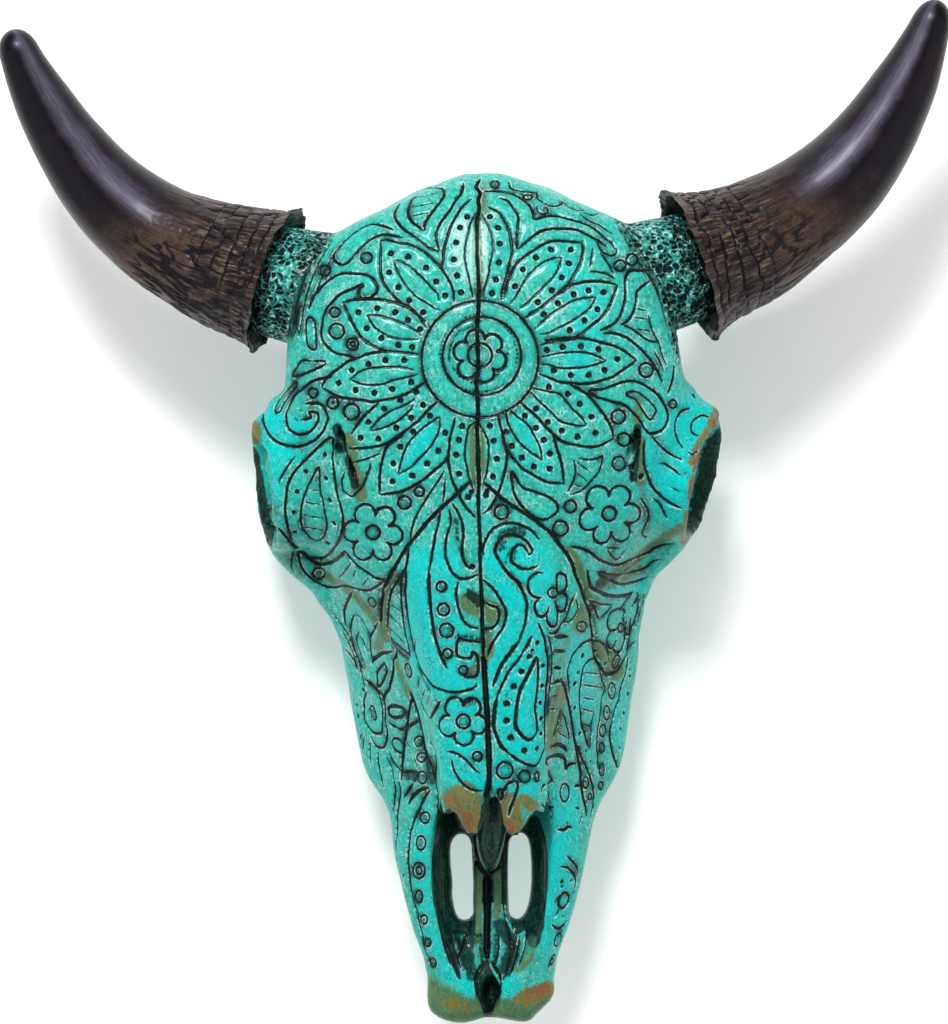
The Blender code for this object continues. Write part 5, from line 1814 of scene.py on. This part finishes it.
@dataclass(frozen=True)
class PaintedBone:
    """Green and cyan paint, black-washed, worn to olive and ochre, under clear varnish; shade in its
    hollows and highlights are painted into its colour.
    """

    green: Shade = (52, 196, 180)
    cyan: Shade = (0, 204, 200)
    deep: Shade = (10, 104, 94)
    ink: Shade = (2, 14, 15)
    # Pale mint, for painted highlights and glints and for pale paint
    pale: Shade = (190, 244, 232)
    olive: Shade = (92, 112, 58)
    ochre: Shade = (132, 106, 14)
    rust: Shade = (150, 72, 8)
    # Dark stain colour, also used for painted shade
    soot: Shade = (5, 32, 28)
    sand: Shade = (184, 182, 128)
    # Near black and dark green of the painted shade
    hollow: Shade = (5, 12, 9)
    shaded_green: Shade = (16, 62, 50)

    def build(self) -> bpy.types.Material:
        """Makes the material.

        Returns:
            The material.
        """
        n = Nodes("painted_bone")
        place = n.place()
        streak = n.noise(n.place((760, 150, 480)), 1.0, 3, 0.6)
        brush = n.noise(n.place((400, 190, 330)), 1.0, 4, 0.7)
        blot = n.noise(place, 90, 3, 0.6)
        fine = n.noise(place, 1500, 2, 0.6)
        mottle = n.noise(place, 420, 3, 0.65)
        grit = n.noise(n.place((1, 0.55, 1)), 1250, 2, 0.55)
        speckled, streaked, grained = mottle - 0.5, streak - 0.5, fine - 0.5
        ink = n.attribute("ink")
        pit = n.attribute("pit")
        sky = n.attribute("open")
        crowd = n.attribute("crowd")

        cyan = (n.attribute("cyan") + (blot - 0.5) * 0.7).rise(0.15, 0.85)
        colour = n.mix(self.green, self.cyan, cyan)
        shade = (brush * 0.5 + mottle * 0.5).rise(0.4, 0.6)
        colour = colour.under(self.deep, (1 - shade) * (0.5 - cyan * 0.25))
        highlight = (streak * 0.2 + mottle * 0.4 + blot * 0.4).rise(0.5, 0.62)
        colour = colour.under(self.pale, highlight * (0.36 - cyan * 0.22))
        scratch = n.noise(n.place((230, 60, 160)), 1.0, 2, 0.6) - 0.5
        scratch = (scratch * scratch).rise(0.00022, 0.00003) * blot.rise(0.45, 0.6)
        colour = colour.under(self.deep, scratch * 0.7)
        # Pale stains: pale paint, and painted glints of the varnish on the crown petals
        pale = (n.attribute("pale") * 0.9 + streak * 0.6).rise(0.75, 1.25)
        colour = colour.under(self.pale, pale * 0.85)

        tints = (("olive", self.olive, 0.4), ("ochre", self.ochre, 0.35), ("rust", self.rust, 0.45))
        for tint, shade_of, low in tints:
            uneven = n.attribute(tint) + streaked * 0.9 + speckled * 0.9
            amount = uneven.rise(low, low + 0.4)
            warm = n.mix(shade_of, self.deep, (streak * 0.5 + mottle * 0.5).rise(0.58, 0.4) * 0.6)
            warm = warm.under(self.sand, (brush * 0.5 + fine * 0.5).rise(0.52, 0.68) * 0.45)
            colour = colour.under(warm, amount * 0.95)

        # Black-washed paint and painted shade, darker where the bone has little open sky
        wash_and_shade = (sky + speckled * 0.3).rise(0.66, 0.22)
        colour = colour.under(self.deep, wash_and_shade * 0.8)
        unseen = n.attribute("seen").rise(0.6, 0.1)
        broad = n.noise(place, 26, 4, 0.7)
        colour = colour.under(self.deep, (broad * 0.7 + brush * 0.3).rise(0.52, 0.4) * unseen * 0.6)
        colour = colour.under(self.cyan, (broad * 0.7 + blot * 0.3).rise(0.52, 0.62) * unseen * 0.5)
        colour = colour.under(self.olive, (broad * 0.3 + brush * 0.7).rise(0.44, 0.34) * unseen * 0.6)
        thick = (crowd + speckled * 1.3 + (brush - 0.5) * 0.8).rise(0.25, 0.8)
        colour = colour.under(self.soot, thick * ink.rise(4.0, 0.3) * 0.85)
        speck = (grit * 0.6 + mottle * 0.4).rise(0.54, 0.58)
        colour = colour.under(self.deep, speck * blot.rise(0.35, 0.62) * 0.6)
        # Painted highlight: a pale rim beside the carved lines, partly worn paint on their edges, kept off
        # the dark fields
        rim = ink.rise(-0.05, 0.25) * ink.rise(1.1, 0.6) * (mottle * 0.5 + blot * 0.5).rise(0.46, 0.6)
        rim = rim * n.attribute("hollow").rise(0.3, 0.1)
        colour = colour.under(self.pale, rim * 0.6)
        smudge = (ink + speckled * 2.6 + streaked * 1.4).rise(0.65, -0.15)
        colour = colour.under(self.soot, smudge * 0.65)
        drop = (grit * 0.5 + fine * 0.5).rise(0.6, 0.64)
        colour = colour.under(self.ink, drop * 0.8)

        # Painted shade: near black and dark green with olive patches deep in the eye sockets and nose,
        # under the sheaths and on the dark fields, less under olive stains, and near black where little
        # sky is open
        warmth = n.attribute("olive").rise(0.5, 0.9)
        hollow = (n.attribute("dark") + speckled * 0.5 + grained * 0.3).rise(0.25, 0.75)
        field = (n.attribute("hollow") + speckled * 0.5 + streaked * 0.4).rise(0.25, 0.65)
        shade_colour = n.mix(self.hollow, self.shaded_green, (streak * 0.6 + mottle * 0.4).rise(0.42, 0.6) * 0.9)
        shade_colour = shade_colour.under(self.olive, (mottle * 0.6 + fine * 0.4).rise(0.57, 0.68) * 0.55)
        colour = colour.under(shade_colour, hollow.most(field * (1 - warmth * 0.8)) * 0.97)
        colour = colour.under(self.hollow, (sky + streaked * 0.25).rise(0.38, 0.1))
        # Dark stains, and painted shade in the nose, the brow slots and beside each sheath's lip
        soot = (n.attribute("soot") + speckled * 0.9 + streaked * 0.7).rise(0.3, 0.62)
        colour = colour.under(self.soot, soot * 0.93)
        line = (ink + grained * 0.5 + speckled * 0.3).rise(0.04, -0.24)
        hole = (pit + grained * 0.7).rise(0.3, -0.2)
        near_mouth = pit.rise(6, 2)
        colour = colour.under(self.deep, near_mouth * (mottle * 0.5 + blot * 0.5).rise(0.62, 0.44) * 0.7)
        # Painted highlights: pale patches on the bumps of the pitted necks
        colour = colour.under(self.pale, near_mouth * mottle.rise(0.5, 0.64) * 0.6)
        filled = n.mix(self.ink, self.deep, (fine * 0.5 + mottle * 0.5).rise(0.5, 0.66) * 0.25)
        colour = colour.under(filled, line.most(hole))

        height = streak * 0.3 + mottle * 0.45 + fine * 0.25 - line * 0.4
        rough = 0.3 + mottle * 0.2 + line * 0.15
        return n.surface({
            "Base Color": colour,
            "Roughness": rough,
            "Normal": n.bump(height, 0.6, 0.0005),
            "Coat Weight": 0.22,
            "Coat Roughness": 0.1,
            "Specular IOR Level": 0.08,
        })


@dataclass(frozen=True)
class DarkHorn:
    """Dark brown horn, cracked at its mouth, mottled tan in its middle and polished black to its tip, with
    highlights and shade painted in.
    """

    brown: Shade = (60, 44, 34)
    dark: Shade = (15, 10, 8)
    black: Shade = (4, 2, 4)
    tan: Shade = (140, 122, 98)
    mud: Shade = (84, 68, 44)
    rust: Shade = (96, 58, 28)
    plum: Shade = (30, 12, 14)
    # Painted glints on the blocks near the mouth
    dusty_glint: Shade = (128, 108, 92)
    crack: Shade = (4, 3, 3)
    lining: Shade = (52, 146, 120)
    # Purple-grey of the painted highlight band
    band: Shade = (118, 114, 132)
    sheen: tuple[float, float, float, float] = (0.8, 0.74, 1.0, 1.0)

    def build(self) -> bpy.types.Material:
        """Makes the material.

        Returns:
            The material.
        """
        n = Nodes("dark_horn")
        place = n.place()
        along, high, facing = n.attribute("along"), n.attribute("high"), n.attribute("facing")
        where = n.add("ShaderNodeCombineXYZ", {}, {0: along * 0.007, 1: high * 3.0, 2: facing * 3.0})
        grain = n.noise(where, 6.0, 4, 0.65)
        fibre = n.noise(where, 13.0, 3, 0.6)
        blot = n.noise(place, 55, 3, 0.6)
        mottle = n.noise(place, 330, 4, 0.7)
        fine = n.noise(place, 1100, 3, 0.6)
        colour = n.mix(self.brown, self.dark, (grain * 0.6 + mottle * 0.4).rise(0.42, 0.6))
        worn = along.rise(95, 30)
        streaks = (fibre * 0.55 + mottle * 0.25 + blot * 0.2).rise(0.5, 0.62)
        colour = colour.under(self.tan, streaks * worn * 0.6)
        colour = colour.under(self.dark, (fibre * 0.7 + mottle * 0.3).rise(0.47, 0.38) * worn * 0.8)
        patch = along.rise(30, 62) * along.rise(135, 88) * high.rise(0.5, -0.05)
        speckle = (mottle * 0.55 + fine * 0.2 + blot * 0.25).rise(0.43, 0.57)
        colour = colour.under(self.mud, patch * speckle * 0.75)
        colour = colour.under(self.rust, patch * (blot * 0.6 + fine * 0.4).rise(0.5, 0.62) * 0.4)
        polish = (along + (blot - 0.5) * 90 + (high * 14)).rise(62, 118)
        shine = n.mix(self.black, self.plum, (blot * 0.7 + grain * 0.3).rise(0.5, 0.66) * 0.8)
        colour = colour.under(shine, polish)
        # Painted highlight: a purple-grey band along the upper middle of the outer horn, streaked along
        # its length
        level = high + (blot - 0.5) * 0.3
        middle = level.rise(-0.12, 0.36) * level.rise(0.8, 0.36)
        middle = middle * facing.rise(0.0, 0.4) * along.rise(70, 120)
        highlight_streaks = (fibre * 0.6 + grain * 0.4).rise(0.4, 0.62)
        colour = colour.under(self.band, middle * (0.26 + highlight_streaks * 0.26))
        # Painted glints: light patches on the blocks near the mouth
        colour = colour.under(self.dusty_glint, worn * (fine * 0.5 + mottle * 0.5).rise(0.58, 0.68) * 0.45)
        split = n.attribute("crack")
        # Painted shade: darker round the cracks
        colour = colour.under(self.dark, (split + (mottle - 0.5) * 0.3).rise(0.0, 0.2) * 0.6)
        colour = colour.under(self.crack, (split + (fine - 0.5) * 0.3).rise(0.08, 0.36) * 0.95)
        thread = (fibre - 0.5) * (fibre - 0.5)
        thread = thread.rise(0.0009, 0.0001) * (grain * 0.5 + blot * 0.5).rise(0.44, 0.52)
        thread = thread * along.rise(78, 50)
        colour = colour.under(self.crack, thread * 0.85)
        # Painted shade: near black inside the mouth, deeper in
        colour = colour.under(self.crack, n.attribute("inside") * 0.9)
        colour = colour.under(self.lining, n.attribute("teal") * mottle.rise(0.35, 0.6))
        height = grain * 0.35 + mottle * 0.3 * worn + fine * 0.15 * worn + fibre * 0.2 - thread * 0.5
        rough = 0.36 - along.rise(60, 130) * 0.08 + fine * 0.06
        return n.surface({
            "Base Color": colour,
            "Roughness": rough.most(n.attribute("inside") * 0.9),
            "Normal": n.bump(height, 0.5, 0.0007),
            "Specular Tint": self.sheen,
            "Specular IOR Level": 0.2,
            "Coat Weight": 0.1,
            "Coat Roughness": 0.2,
        })


@dataclass(frozen=True)
class PaleFloor:
    """A plain pale floor."""

    shade: Shade = (246, 246, 245)
    glow: tuple[float, float, float, float] = (1.0, 1.0, 1.0, 1.0)

    def build(self) -> bpy.types.Material:
        """The floor's material."""
        n = Nodes("pale_floor")
        return n.surface({
            "Base Color": n.colour(self.shade),
            "Roughness": 0.9,
            "Emission Color": self.glow,
            "Emission Strength": 0.22,
        })


@dataclass
class Studio:
    """The floor, the lights and the camera."""

    view: PictureView
    floor_size: float = 16.0
    surround: float = 0.42
    aim: tuple[float, float, float] = (0, 0, 0.1)
    # Lights: name, place in metres, length of the side and power in watts
    lights: tuple[tuple[str, tuple[float, float, float], float, float], ...] = (
        ("key", (-0.25, 1.25, 1.8), 0.45, 36),
        ("left", (-1.8, -0.9, 1.6), 2.6, 13),
        ("right", (1.8, -0.7, 1.6), 2.6, 13),
    )

    def build(self) -> None:
        """Sets the stage."""
        self.view.place_camera()
        self._floor()
        for light in self.lights:
            self._light(*light)
        bpy.context.scene.view_settings.view_transform = "Standard"
        world = bpy.data.worlds.new("room")
        bpy.context.scene.world = world
        world.use_nodes = True
        background = world.node_tree.nodes["Background"]
        background.inputs["Color"].default_value = (1, 1, 1, 1)
        background.inputs["Strength"].default_value = self.surround

    def _floor(self) -> None:
        """Adds the floor."""
        bpy.ops.object.select_all(action="DESELECT")
        bpy.ops.mesh.primitive_plane_add(size=self.floor_size)
        floor = bpy.context.object
        floor.name = "floor"
        floor.data.materials.append(PaleFloor().build())

    def _light(self, name: str, place: tuple[float, float, float], size: float, power: float) -> None:
        """Adds one soft light that looks at the skull.

        Args:
            name: Its name.
            place: Where it is, in metres.
            size: The length of its side.
            power: Its power in watts.
        """
        data = bpy.data.lights.new(name, "AREA")
        data.shape = "SQUARE"
        data.size = size
        data.energy = power
        lamp = bpy.data.objects.new(name, data)
        bpy.context.scene.collection.objects.link(lamp)
        lamp.location = place
        heading = Vector(self.aim) - Vector(place)
        lamp.rotation_euler = heading.to_track_quat("-Z", "Y").to_euler()


def hand_over(shape: Shape, material: bpy.types.Material, node: str) -> None:
    """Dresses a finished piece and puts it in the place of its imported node.

    Args:
        shape: The piece.
        material: Its material.
        node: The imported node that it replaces.
    """
    shape.obj.data.materials.append(material)
    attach(shape.obj, "root")
    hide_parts(node)
    LOG.info("%s stands for %s", shape.obj.name, node)


def main() -> None:
    """Builds the dressed skull."""
    logging.basicConfig(level=logging.INFO, format="%(message)s")
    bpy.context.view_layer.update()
    view = PictureView()
    Studio(view).build()
    paint = PaintedBone().build()
    for piece in SkullBone(view, Carving(view)).build():
        hand_over(piece, paint, "skull")
    horn_finish = DarkHorn().build()
    for sheath in SHEATHS:
        hand_over(sheath.build(), horn_finish, f"horn_{sheath.word}")


if __name__ == "__main__":
    main()
